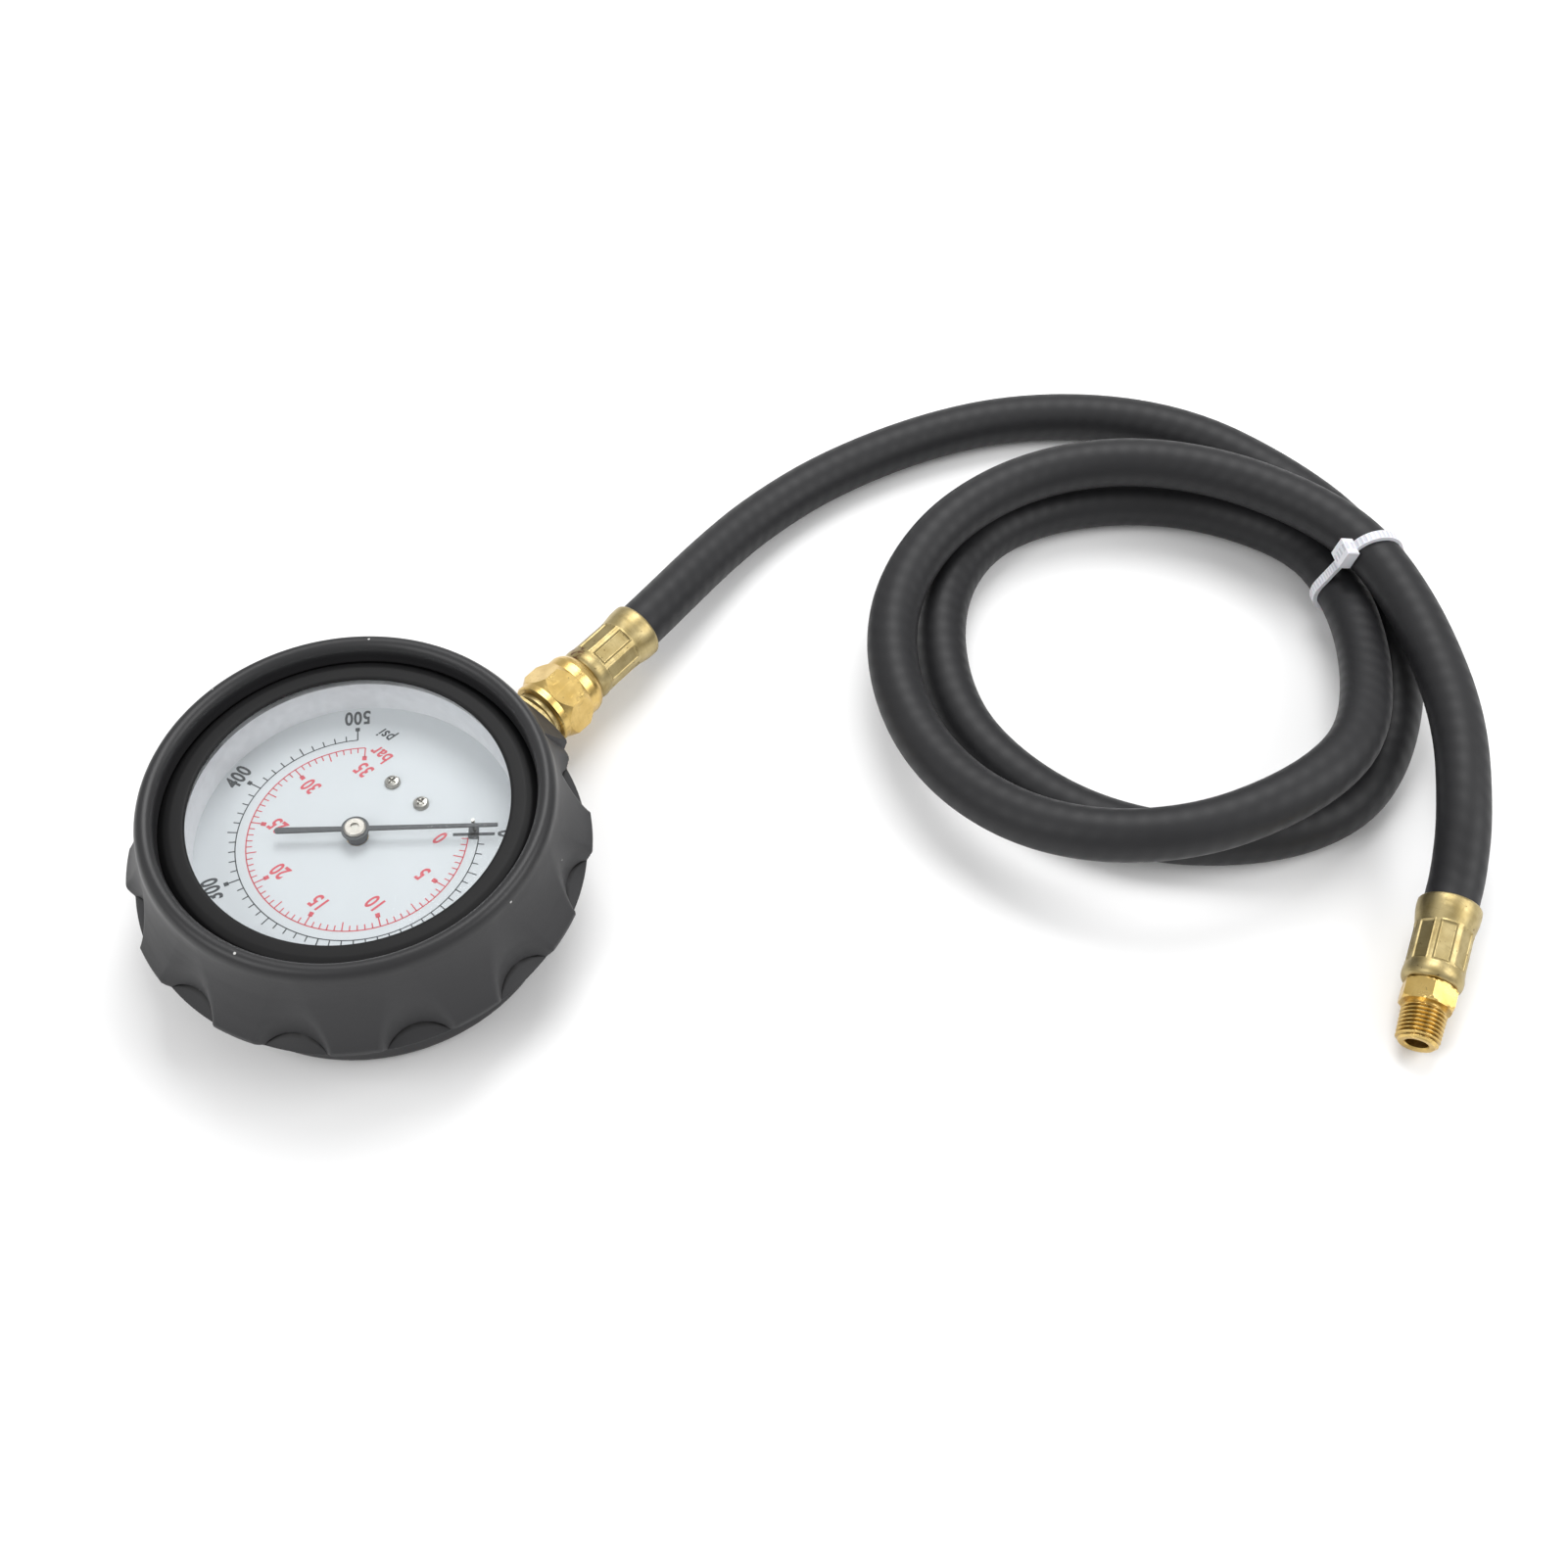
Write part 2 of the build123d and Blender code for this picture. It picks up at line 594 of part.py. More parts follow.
def ferrule():
    """Crimped brass ferrule along +Z: bead at the fitting, faceted waist, bell at the hose."""
    length = FERRULE_LENGTH
    profile = [
        Line((0, 0, 0), (5.6, 0, 0)),
        ThreePointArc((5.6, 0, 0), (6.55, 0, 0.8), (6.7, 0, 2.0)),
        ThreePointArc((6.7, 0, 2.0), (6.62, 0, 2.9), (6.35, 0, 3.7)),
        Line((6.35, 0, 3.7), (6.35, 0, 13.6)),
        ThreePointArc((6.35, 0, 13.6), (6.75, 0, 15.0), (7.05, 0, 16.6)),
        ThreePointArc((7.05, 0, 16.6), (7.12, 0, 18.2), (6.95, 0, length)),
        Line((6.95, 0, length), (0, 0, length)),
        Line((0, 0, length), (0, 0, 0)),
    ]
    body = revolve(make_face(Wire(profile)), Axis.Z)
    jaw = Pos(0, 0, 3.9) * extrude(Circle(9) - RegularPolygon(6.1, CRIMP_FLATS, major_radius=False), 9.6)
    body -= jaw
    # Hose side of the bore, then the neck that is crimped on the nipple
    return body - disc(HOSE_R, 1.0, length + 1) - disc(4.15, -1, 2)


def gauge_ferrule():
    return along_stem(Pos(0, 0, -HOSE_START[1] - 1.0) * ferrule())


def far_place():
    """Frame of the far fitting: +Z from the ferrule's bell to the thread's tip."""
    h, t = radians(FAR_HEADING), radians(FAR_TILT)
    direction = Vector(cos(t) * cos(h), cos(t) * sin(h), -sin(t))
    return Plane(origin=FAR_MOUTH, x_dir=Vector(-sin(h), cos(h), 0), z_dir=direction)


def far_ferrule():
    flipped = Pos(0, 0, FERRULE_LENGTH) * Rot(180, 0, 0) * ferrule()
    return far_place() * flipped


def end_adapter():
    """Brass adapter: barbed tail, hexagon and a short taper pipe thread with a through bore."""
    z0 = FERRULE_LENGTH
    hexagon = Pos(0, 0, z0 + 0.1) * hexagon_bar(ADAPTER_FLATS, ADAPTER_HEX_LENGTH)
    z1 = z0 + 0.1 + ADAPTER_HEX_LENGTH
    z2 = z1 + PIPE_THREAD_LENGTH
    thread = turned([
        (0, z1), (4.2, z1), (4.2, z1 + 0.7), (PIPE_THREAD_R, z1 + 1.2), (PIPE_THREAD_R, z2 - 1.0),
        (PIPE_THREAD_R - 0.7, z2), (0, z2),
    ])
    outline = [(0, z0 - 16.0), (2.9, z0 - 16.0)]
    for k in range(4):
        z = z0 - 4.6 - 3.4 * (3 - k)
        outline += [(NIPPLE_TAIL_R, z), (NIPPLE_TAIL_R - 0.35, z + 0.2)]
    outline += [(NIPPLE_TAIL_R, z0 - 1.1), (4.1, z0 - 1.1), (4.1, z0 + 0.1), (0, z0 + 0.1)]
    solid = hexagon + thread + turned(outline)
    solid -= Pos(0, 0, z0 + 1) * Cylinder(ADAPTER_BORE_R, 30, align=(Align.CENTER, Align.CENTER, Align.MIN))
    solid -= Cylinder(STEM_BORE_R, 60)
    solid -= disc(STEM_BORE_R, 0, z0 + 2)
    return far_place() * solid


def hose_run(name, points):
    """Round hose along straight runs joined by arcs as wide as the runs allow."""
    points = [Vector(*p) for p in points]
    radii = []
    for a, b, c in zip(points, points[1:], points[2:]):
        turn = (b - a).get_angle(c - b)
        radii.append(0.45 * min((b - a).length, (c - b).length) / tan(radians(turn) / 2))
    path = FilletPolyline(*points, radius=radii)
    print(name, "radii", [round(r) for r in radii])
    start = Plane(origin=points[0], z_dir=points[1] - points[0])
    tube = sweep(start * Circle(HOSE_R), path=path)
    print(name, "length", round(path.length, 1), "volume ratio", round(tube.volume / (pi * HOSE_R**2 * path.length), 4))
    return tube


def lead_points():
    return [
        HOSE_START, (-1.2, -106.4, 11.2), (2.5, -150.1, 6.1), (-10.7, -192.8, 6.1), (-34.7, -222.0, 6.1),
        (-66.0, -238.4, 6.1), (-102.9, -237.3, 6.4), (-129.3, -221.4, 7.5), (-142.4, -205.7, 6.4),
    ]


def tail_points():
    plane = far_place()
    along = plane.z_dir
    return [
        (-137.5, -210.2, 22.0), (-166.1, -187.1, 20.6), tuple(FAR_MOUTH - along * 15.0),
        tuple(FAR_MOUTH + along * (FERRULE_LENGTH - 1.1)),
    ]


def hose_lead():
    tube = hose_run("lead", lead_points())
    socket = Cylinder(NIPPLE_TAIL_R, 15.2, align=(Align.CENTER, Align.CENTER, Align.MIN))
    return tube - along_stem(Pos(0, 0, -HOSE_START[1] - 0.1) * socket)


def hose_tail():
    tube = hose_run("tail", tail_points())
    length = 16.2
    socket = Pos(0, 0, FERRULE_LENGTH - length) * Cylinder(
        NIPPLE_TAIL_R, length, align=(Align.CENTER, Align.CENTER, Align.MIN)
    )
    return tube - far_place() * socket


def hose_coil():
    """Outer shape of the two turns of hose, as one ring with rounded shoulders."""
    a, b, h = COIL_INNER_R, COIL_OUTER_R, COIL_HEIGHT
    ring = turned([
        (a + 1.8, 1.8), (a + 6, 0), (b - 6, 0), (b - 1.8, 1.8), (b, 6), (b, h - 11), (b - 3, h - 3.5), (b - 9, h),
        (a + 11, h), (a + 3.5, h - 4), (a, h - 12), (a, 6),
    ])
    return Pos(COIL_CENTRE[0], COIL_CENTRE[1], 0) * ring


def tie_strands():
    """Centres of the three strands under the tie, as (outward, up) in the tie's plane."""
    return [(7.6, 7.2), (-4.8, 11.0), (1.1, 22.3)]


def tie_plane():
    """Plane of the tie: x points outwards from the coil, y up and z along the strands."""
    outward, along = radians(TIE_HEADING + 90), radians(TIE_HEADING)
    return Plane(
        origin=(TIE_CENTRE[0], TIE_CENTRE[1], 0),
        x_dir=(cos(outward), sin(outward), 0),
        z_dir=(cos(along), sin(along), 0),
    )


def cable_tie():
    """Nylon strap drawn round three strands, with its box-shaped head on the outer flank of the top one."""
    hulls = []
    for r in (HOSE_R + 0.05, HOSE_R + 0.05 + TIE_THICKNESS):
        edges = []
        for s, z in tie_strands():
            edges += (Pos(s, z) * Circle(r)).edges()
        hulls.append(make_hull(edges))
    band = extrude(hulls[1] - hulls[0], TIE_WIDTH / 2, both=True)
    top_s, top_z = tie_strands()[2]
    seat = Pos(top_s, top_z) * Rot(0, 0, TIE_HEAD_TURN) * Pos(HOSE_R + 0.05, 0)
    head = seat * Pos(TIE_HEAD_HEIGHT / 2, 0) * Box(TIE_HEAD_HEIGHT, TIE_HEAD_LENGTH, TIE_HEAD_WIDTH)
    head = chamfer(head.faces().sort_by(Axis.Y)[-1].edges(), 0.3)
    return tie_plane() * (band + head)


SINGLE_NODES = [
    rubber_boot, gauge_case, bezel_ring, window, window_gasket, spacer_ring, blowout_plug, socket_block,
    bourdon_tube, tube_tip, tip_pin, link, tail_pin, sector_gear, sector_arbor, pinion_spindle,
    hairspring_collet, hairspring, dial_plate, stop_pin, pointer, pointer_bush, swivel_nut, hose_nipple,
    gauge_ferrule, hose_lead, hose_coil, hose_tail, far_ferrule, end_adapter, cable_tie,
]

for make in SINGLE_NODES:
    put(make(), make.__name__)

put(movement_plate(BACK_PLATE_Z, False), "movement_back_plate")
put(movement_plate(FRONT_PLATE_Z, True), "movement_front_plate")
put(Compound(children=movement_pillars()), "movement_pillars")

dial_screws = [Pos(x, y, DIAL_TOP) * pan_head_screw(1.75, 1.1, 0.9, 2.0) for x, y in dial_screw_places()]
put(Compound(children=dial_screws), "dial_screws")
plate_screws = [
    Pos(x, y, BACK_PLATE_Z + PLATE_T) * pan_head_screw(1.9, 1.3, 1.0, 5.2) for x, y in PLATE_SCREWS
]
put(Compound(children=plate_screws), "movement_screws")
case_screws = [
    Pos(x, y, BOOT_BACK) * Rot(180, 0, 0) * pan_head_screw(2.9, 1.6, 1.6, 6.0) for x, y in case_screw_places()
]
put(Compound(children=case_screws), "case_screws")
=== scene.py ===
import json
from math import cos, pi, radians, sin, tan

import bmesh
import bpy
import numpy as np
from mathutils import Matrix


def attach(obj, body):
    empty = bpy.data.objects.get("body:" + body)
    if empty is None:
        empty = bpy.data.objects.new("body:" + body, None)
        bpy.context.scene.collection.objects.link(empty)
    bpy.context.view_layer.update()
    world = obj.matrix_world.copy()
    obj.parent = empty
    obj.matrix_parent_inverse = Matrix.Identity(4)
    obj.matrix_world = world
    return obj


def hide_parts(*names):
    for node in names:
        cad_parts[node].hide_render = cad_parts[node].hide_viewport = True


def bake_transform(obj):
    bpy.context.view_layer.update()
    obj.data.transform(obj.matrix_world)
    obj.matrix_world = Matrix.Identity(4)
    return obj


# The visual model of an engine oil pressure tester, round the solids of part.py. Shapes are worked
# out in millimetres and degrees, and a mesh is scaled by MM when it is made. Materials, lamps and
# the camera are in metres.
MM = 0.001
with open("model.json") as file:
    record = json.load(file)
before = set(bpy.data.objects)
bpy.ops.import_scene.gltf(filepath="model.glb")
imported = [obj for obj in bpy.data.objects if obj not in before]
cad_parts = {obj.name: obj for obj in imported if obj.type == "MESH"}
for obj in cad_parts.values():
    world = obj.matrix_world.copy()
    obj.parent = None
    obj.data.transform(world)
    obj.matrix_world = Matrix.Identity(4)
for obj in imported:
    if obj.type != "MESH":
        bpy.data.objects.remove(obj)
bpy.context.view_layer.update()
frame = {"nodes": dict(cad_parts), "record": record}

# The rubber boot, as the solids have it
GRIP_R = 50.7
LIP_FOOT_Z = 38.2
GRIP_Z = 20.6
WALL_FOOT_R = 49.4
SCALLOPS = 12
SCALLOP_CENTRE_R = 56.7
SCALLOP_R = 9.9
SCALLOP_R_Z = 10.0
SCALLOP_DRAFT = 3.0
LEDGE_SLOPE = 0.7
BOSS_HALF_WIDTH = 14.5
BOSS_R = 52.4
BOSS_TOP_Z = 31.5
BOSS_FOOT_Z = 17.24
COLLAR_R = 9.3
STEM_HOLE_R = 7.7

# Stem, hose and fittings
STEM_Z = 12.0
TUBE_R = 31.0
HOSE_R = 6.0
HOSE_START_Y = -71.1
PRESSED_IN = 0.45
FERRULE_LENGTH = 19.8
FAR_MOUTH = np.array([-190.54, -145.56, 11.0])
FAR_HEADING = 109.25
FAR_TILT = 10.3
TIE_CENTRE = (-127.0, -214.0)
TIE_HEADING = 141.05

# Dial print: pressures run clockwise from the black scale's zero
DIAL_TOP = 25.0
PRINT_Z = DIAL_TOP + 0.03
PRINT_TURN = 1.25
SCALE_ZERO = -133.75
DEGREES_PER_PSI = 0.54
PSI_PER_BAR = 14.504
REST_AZIMUTH = -138.95
BLACK_R = 26.3
RED_R = 24.05


# Shader maths

class Value:
    """A number in a material's node tree, with the arithmetic that the finishes use."""

    def __init__(self, shade, socket):
        self.shade = shade
        self.socket = socket

    def maths(self, operation, *others):
        """Result of a maths node whose first input is this number."""
        inputs = dict(enumerate((self, *others)))
        node = self.shade.node("ShaderNodeMath", {"operation": operation}, inputs)
        return Value(self.shade, node.outputs[0])

    def __add__(self, other):
        return self.maths("ADD", other)

    def __mul__(self, other):
        return self.maths("MULTIPLY", other)

    def __sub__(self, other):
        return self.maths("SUBTRACT", other)

    def __rsub__(self, other):
        return (self * -1.0).maths("ADD", other)

    __radd__ = __add__
    __rmul__ = __mul__

    def __gt__(self, other):
        return self.maths("GREATER_THAN", other)

    def __lt__(self, other):
        return self.maths("LESS_THAN", other)

    def step(self, low, high):
        """0 below low, 1 above high and smooth between them; low may be the larger."""
        settings = {"interpolation_type": "SMOOTHSTEP"}
        inputs = {"Value": self, "From Min": low, "From Max": high, "To Min": 0.0, "To Max": 1.0}
        node = self.shade.node("ShaderNodeMapRange", settings, inputs)
        return Value(self.shade, node.outputs["Result"])


class Shade:
    """A material whose nodes are added one by one."""

    def __init__(self, name):
        self.material = bpy.data.materials.new(name)
        self.material.use_nodes = True
        self.tree = self.material.node_tree
        self.tree.nodes.clear()
        self.coordinates = self.node("ShaderNodeTexCoord")

    def node(self, kind, settings=None, inputs=None):
        """One node of a type: its settings first, then a value or a link for each named socket."""
        made = self.tree.nodes.new(kind)
        for name, value in (settings or {}).items():
            setattr(made, name, value)
        for name, value in (inputs or {}).items():
            if isinstance(value, Value):
                value = value.socket
            if isinstance(value, bpy.types.NodeSocket):
                self.tree.links.new(value, made.inputs[name])
            else:
                made.inputs[name].default_value = value
        return made

    @staticmethod
    def colour(value):
        """A colour's socket as it is, or three numbers with a full alpha."""
        return value if isinstance(value, bpy.types.NodeSocket) else (*value, 1.0)

    def place(self, scale):
        """Object coordinates, in metres, times a scale for each axis."""
        inputs = {"Vector": self.coordinates.outputs["Object"], "Scale": scale}
        return self.node("ShaderNodeMapping", {}, inputs).outputs[0]

    def axis(self, name, uv=False):
        """One coordinate of the point, in metres, or one number of the piece's own UV map."""
        source = self.coordinates.outputs["UV" if uv else "Object"]
        return Value(self, self.node("ShaderNodeSeparateXYZ", {}, {0: source}).outputs[name])

    def noise(self, size, detail):
        """Cloudy noise from 0 to 1; size is a patch's width in metres, or one for each axis."""
        scale = [1.0 / s for s in (size if isinstance(size, tuple) else (size,) * 3)]
        inputs = {"Vector": self.place(scale), "Scale": 1.0, "Detail": detail}
        return Value(self, self.node("ShaderNodeTexNoise", {}, inputs).outputs["Fac"])

    def specks(self, spacing, radius):
        """Small round specks in some cells of a Voronoi pattern, 1 inside one and 0 elsewhere."""
        inputs = {"Vector": self.place((1.0 / spacing,) * 3), "Scale": 1.0}
        cells = self.node("ShaderNodeTexVoronoi", {}, inputs)
        near = Value(self, cells.outputs["Distance"]) < radius / spacing
        split = self.node("ShaderNodeSeparateXYZ", {}, {0: cells.outputs["Color"]})
        return near * (Value(self, split.outputs[0]) > 0.72)

    def blend(self, mask, first, second):
        """Colour that is the first where the mask is 0 and the second where it is 1.

        On a mix node of colours, input 0 is the factor, 6 and 7 are the colours, and output 2 is
        the result.
        """
        inputs = {0: mask, 6: self.colour(first), 7: self.colour(second)}
        return self.node("ShaderNodeMix", {"data_type": "RGBA"}, inputs).outputs[2]

    def bump(self, height, depth):
        """Normals of a relief; height runs from 0 to 1 and depth is in metres."""
        inputs = {"Height": height, "Distance": depth, "Strength": 1.0}
        return self.node("ShaderNodeBump", {}, inputs).outputs["Normal"]

    def finish(self, colour, roughness, metallic=0.0, normal=None, **extra):
        """Ends the material in one Principled shader."""
        base = self.colour(colour)
        inputs = {"Base Color": base, "Roughness": roughness, "Metallic": metallic}
        if normal:
            inputs["Normal"] = normal
        inputs.update({name.replace("_", " "): value for name, value in extra.items()})
        shader = self.node("ShaderNodeBsdfPrincipled", {}, inputs)
        self.node("ShaderNodeOutputMaterial", {}, {"Surface": shader.outputs[0]})
        return self.material


def boot_rubber():
    """Matt moulded rubber, glossier on the rolled lip, with a soft cloud of handling and dust, and
    painted shade almost black in the crease above the scallops' ledges.
    """
    s = Shade("boot_rubber")
    cloud = s.noise(0.018, 3.0)
    grain = s.noise(0.0006, 2.0)
    lip = s.axis("Z").step(0.0355, 0.0385)
    smear = s.noise((0.03, 0.03, 0.006), 3.0).step(0.55, 0.75)
    dust = s.specks(0.0055, 0.0003)
    base = s.blend(cloud, (0.023, 0.023, 0.0245), (0.029, 0.029, 0.031))
    base = s.blend(lip * 0.6, base, (0.015, 0.015, 0.016))
    # painted shade: the crease's UV mask darkens the rubber almost to black, in place of the
    # crease's shadow
    base = s.blend(s.axis("X", uv=True), base, (0.002, 0.002, 0.002))
    colour = s.blend(dust, base, (0.5, 0.5, 0.49))
    rough = 0.49 + 0.1 * cloud - 0.15 * lip + 0.05 * smear
    return s.finish(colour, rough, normal=s.bump(grain, 0.00002), Specular_IOR_Level=0.36)


def hose_rubber():
    """Satin hose cover whose braid shows through as faint slanting ribs in glancing light."""
    s = Shade("hose_rubber")
    rib_pitch, starts = 0.0046, 4.0
    around = s.axis("X", uv=True)
    along = s.axis("Y", uv=True)
    slope = along * (1.0 / rib_pitch) + around * starts
    ribs = (slope * (2.0 * pi)).maths("SINE") * 0.5 + 0.5
    cloud = s.noise(0.012, 3.0)
    fine = s.noise(0.0005, 2.0)
    relief = ribs * 0.6 + cloud * 0.28 + fine * 0.12
    dust = s.specks(0.0095, 0.00023)
    base = s.blend(cloud, (0.0105, 0.0105, 0.0118), (0.0155, 0.0155, 0.017))
    colour = s.blend(dust, base, (0.45, 0.45, 0.44))
    rough = 0.44 + 0.1 * cloud + 0.05 * ribs
    return s.finish(colour, rough, normal=s.bump(relief, 0.000085), Specular_IOR_Level=0.33)


def brass(name, bright, dark, rough, scratch, patch=0.0, stain=None):
    """Machined or drawn brass: cloudy tone, fine scratches in two directions and small dark pits.

    A stain is a reddish brown cloud round one place (x, y, z, reach), where flux has dried. Where a
    piece has a UV map, its first number darkens the tone towards the bottom of a groove: painted
    shade.
    """
    s = Shade(name)
    cloud = s.noise(0.004, 3.0)
    long_marks = s.noise((0.0045, 0.00012, 0.0045), 1.0)
    cross_marks = s.noise((0.00012, 0.0035, 0.0035), 1.0)
    marks = long_marks.step(0.6, 0.72) + cross_marks.step(0.62, 0.74)
    pits = s.noise(0.0009, 2.0).step(0.69, 0.74)
    tone = s.blend(cloud.step(0.3, 0.75), bright, dark)
    tone = s.blend(marks * 0.26, tone, tuple(0.55 * c for c in dark))
    tone = s.blend(pits * (0.4 + patch), tone, (0.09, 0.055, 0.025))
    if stain:
        far = [(s.axis(axis) - centre) * (1.0 / stain[3]) for axis, centre in zip("XYZ", stain)]
        near = (far[0] * far[0] + far[1] * far[1] + far[2] * far[2]).step(1.0, 0.25)
        flecks = s.noise(0.0012, 3.0).step(0.44, 0.6)
        tone = s.blend(near * flecks * 0.85, tone, (0.13, 0.055, 0.03))
    # painted shade: darker towards the bottom of the thread's groove, from the UV map's first
    # number
    tone = s.blend(s.axis("X", uv=True) * 0.75, tone, (0.18, 0.11, 0.035))
    roughness = rough + 0.14 * cloud + marks * scratch
    grain = s.noise(0.0004, 2.0)
    relief = grain * 0.5 + marks * -0.4
    return s.finish(tone, roughness, 1.0, s.bump(relief, 0.000016))


def bezel_black():
    """Satin black enamel with a faint orange peel."""
    s = Shade("bezel_black")
    cloud = s.noise(0.01, 2.0)
    peel = s.noise(0.0007, 1.0)
    dust = s.specks(0.012, 0.0002)
    colour = s.blend(dust, (0.0085, 0.0085, 0.009), (0.4, 0.4, 0.4))
    rough = 0.46 + 0.08 * cloud
    return s.finish(colour, rough, normal=s.bump(peel, 0.000008), Specular_IOR_Level=0.18)


def dial_white():
    """Matt pale blue-white enamel."""
    s = Shade("dial_white")
    cloud = s.noise(0.03, 2.0)
    colour = s.blend(cloud, (0.58, 0.605, 0.625), (0.61, 0.632, 0.648))
    return s.finish(colour, 0.5 + 0.05 * cloud)


def window_glass():
    """Clear pane: light goes straight through, apart from a little gloss at flat angles."""
    s = Shade("window_glass")
    polish = {"Base Color": (1.0, 1.0, 1.0, 1.0), "Roughness": 0.04}
    gloss = s.node("ShaderNodeBsdfPrincipled", {}, polish)
    clear = s.node("ShaderNodeBsdfTransparent", {}, {"Color": (0.985, 0.993, 0.995, 1.0)})
    edge = s.node("ShaderNodeFresnel", {}, {"IOR": 1.3})
    shares = {0: edge.outputs[0], 1: clear.outputs[0], 2: gloss.outputs[0]}
    mix = s.node("ShaderNodeMixShader", {}, shares)
    s.node("ShaderNodeOutputMaterial", {}, {"Surface": mix.outputs[0]})
    return s.material


def nylon_white():
    """Milky nylon, a little clear, with a ladder of teeth all round the strap.

    The rungs are the sine wave of the angle round the strap's middle, and end at its edges. They
    are a bump and also painted shade, a darker colour between the teeth.
    """
    s = Shade("nylon_white")
    cloud = s.noise(0.002, 2.0)
    middle_z, middle_level, teeth = 0.0135, 0.0013, 88.0
    across = radians(TIE_HEADING + 90)
    x = s.axis("X") - TIE_CENTRE[0] * MM
    y = s.axis("Y") - TIE_CENTRE[1] * MM
    level = x * cos(across) + y * sin(across)
    along = x * sin(across) - y * cos(across)
    angle = (s.axis("Z") - middle_z).maths("ARCTAN2", level - middle_level)
    rungs = (angle * teeth).maths("SINE").step(-0.35, 0.35)
    strap = along.maths("ABSOLUTE").step(0.00105, 0.0009)
    ladder = rungs * strap
    colour = s.blend(cloud, (0.66, 0.67, 0.71), (0.76, 0.77, 0.80))
    # painted shade: the rungs darken the nylon between the teeth
    colour = s.blend(ladder * 0.4, colour, (0.36, 0.37, 0.43))
    extra = {"Subsurface_Weight": 0.15, "Subsurface_Scale": 0.001}
    relief = s.bump(ladder * -1.0 + 1.0, 0.00015)
    return s.finish(colour, 0.34 + 0.1 * cloud, normal=relief, **extra)


def nickel_hub():
    """Plated cap with a dark ring in its middle, a blackened rim and a blackened collar below.

    The parts are told apart by the distance from the gauge's axis, and the collar by height.
    """
    s = Shade("nickel_hub")
    cloud = s.noise(0.002, 3.0)
    x, y = s.axis("X"), s.axis("Y")
    radius = (x * x + y * y).maths("SQRT")
    hole = radius.step(0.00078, 0.0007) * radius.step(0.0002, 0.0003)
    rim = radius.step(0.00258, 0.00266)
    collar = s.axis("Z").step(0.0284, 0.0282)
    black = (rim + hole + collar).maths("MINIMUM", 1.0)
    colour = s.blend(cloud, (0.47, 0.44, 0.40), (0.36, 0.335, 0.30))
    colour = s.blend(black, colour, (0.05, 0.052, 0.056))
    return s.finish(colour, 0.24 + 0.12 * cloud + 0.25 * black, black * -0.9 + 1.0)


def plain(name, tone, rough, metallic=0.0):
    """Paint, or metal with metallic at 1, of one tone with fine grain."""
    s = Shade(name)
    cloud = s.noise(0.002, 3.0)
    grain = s.noise(0.0003, 1.0)
    colour = s.blend(cloud, tone, tuple(0.8 * c for c in tone))
    return s.finish(colour, rough + 0.12 * cloud, metallic, s.bump(grain, 0.00001))


def ink(name, tone):
    """Screen print on the dial."""
    s = Shade(name)
    wear = s.noise(0.0004, 2.0)
    colour = s.blend(wear, tone, tuple(min(1.0, 1.25 * c + 0.01) for c in tone))
    return s.finish(colour, 0.55 + 0.05 * wear)


def floor_white():
    """Plain pale floor."""
    s = Shade("floor_white")
    cloud = s.noise(0.4, 1.0)
    return s.finish((0.93, 0.93, 0.93), 0.85 + 0.05 * cloud)


FLUX_STAIN = (0.0032, -0.0718, 0.0174, 0.0036)
FINISH = {
    "boot_rubber": boot_rubber(),
    "hose_rubber": hose_rubber(),
    "bezel_black": bezel_black(),
    "case_black": plain("case_black", (0.03, 0.03, 0.03), 0.4),
    "window_glass": window_glass(),
    "dial_white": dial_white(),
    "ring_white": plain("ring_white", (0.93, 0.93, 0.95), 0.45),
    "brass_bright": brass("brass_bright", (0.69, 0.495, 0.18), (0.56, 0.38, 0.115), 0.22, 0.12),
    "brass_dull": brass(
        "brass_dull", (0.46, 0.375, 0.19), (0.33, 0.255, 0.11), 0.33, 0.1, 0.4, FLUX_STAIN
    ),
    "brass_movement": brass("brass_movement", (0.80, 0.56, 0.22), (0.68, 0.46, 0.17), 0.25, 0.08),
    "bronze_tube": brass("bronze_tube", (0.66, 0.38, 0.18), (0.52, 0.29, 0.13), 0.3, 0.08),
    "steel_bright": plain("steel_bright", (0.44, 0.42, 0.38), 0.24, 1.0),
    "nickel_hub": nickel_hub(),
    "pointer_black": plain("pointer_black", (0.055, 0.06, 0.065), 0.45),
    "nylon_white": nylon_white(),
    "ink_black": ink("ink_black", (0.022, 0.027, 0.032)),
    "ink_red": ink("ink_red", (0.52, 0.055, 0.075)),
}


# Building surfaces

def linked(name, data):
    """New object of some data, at the origin and in the scene."""
    made = bpy.data.objects.new(name, data)
    bpy.context.scene.collection.objects.link(made)
    return made


def mesh_of(holder):
    """Final mesh of an object, with its modifiers or its curve worked out."""
    final = holder.evaluated_get(bpy.context.evaluated_depsgraph_get())
    return bpy.data.meshes.new_from_object(final)


def points_of(mesh):
    """The mesh's points, one to a row, as they are stored."""
    points = np.empty(len(mesh.vertices) * 3)
    mesh.vertices.foreach_get("co", points)
    return points.reshape(-1, 3)


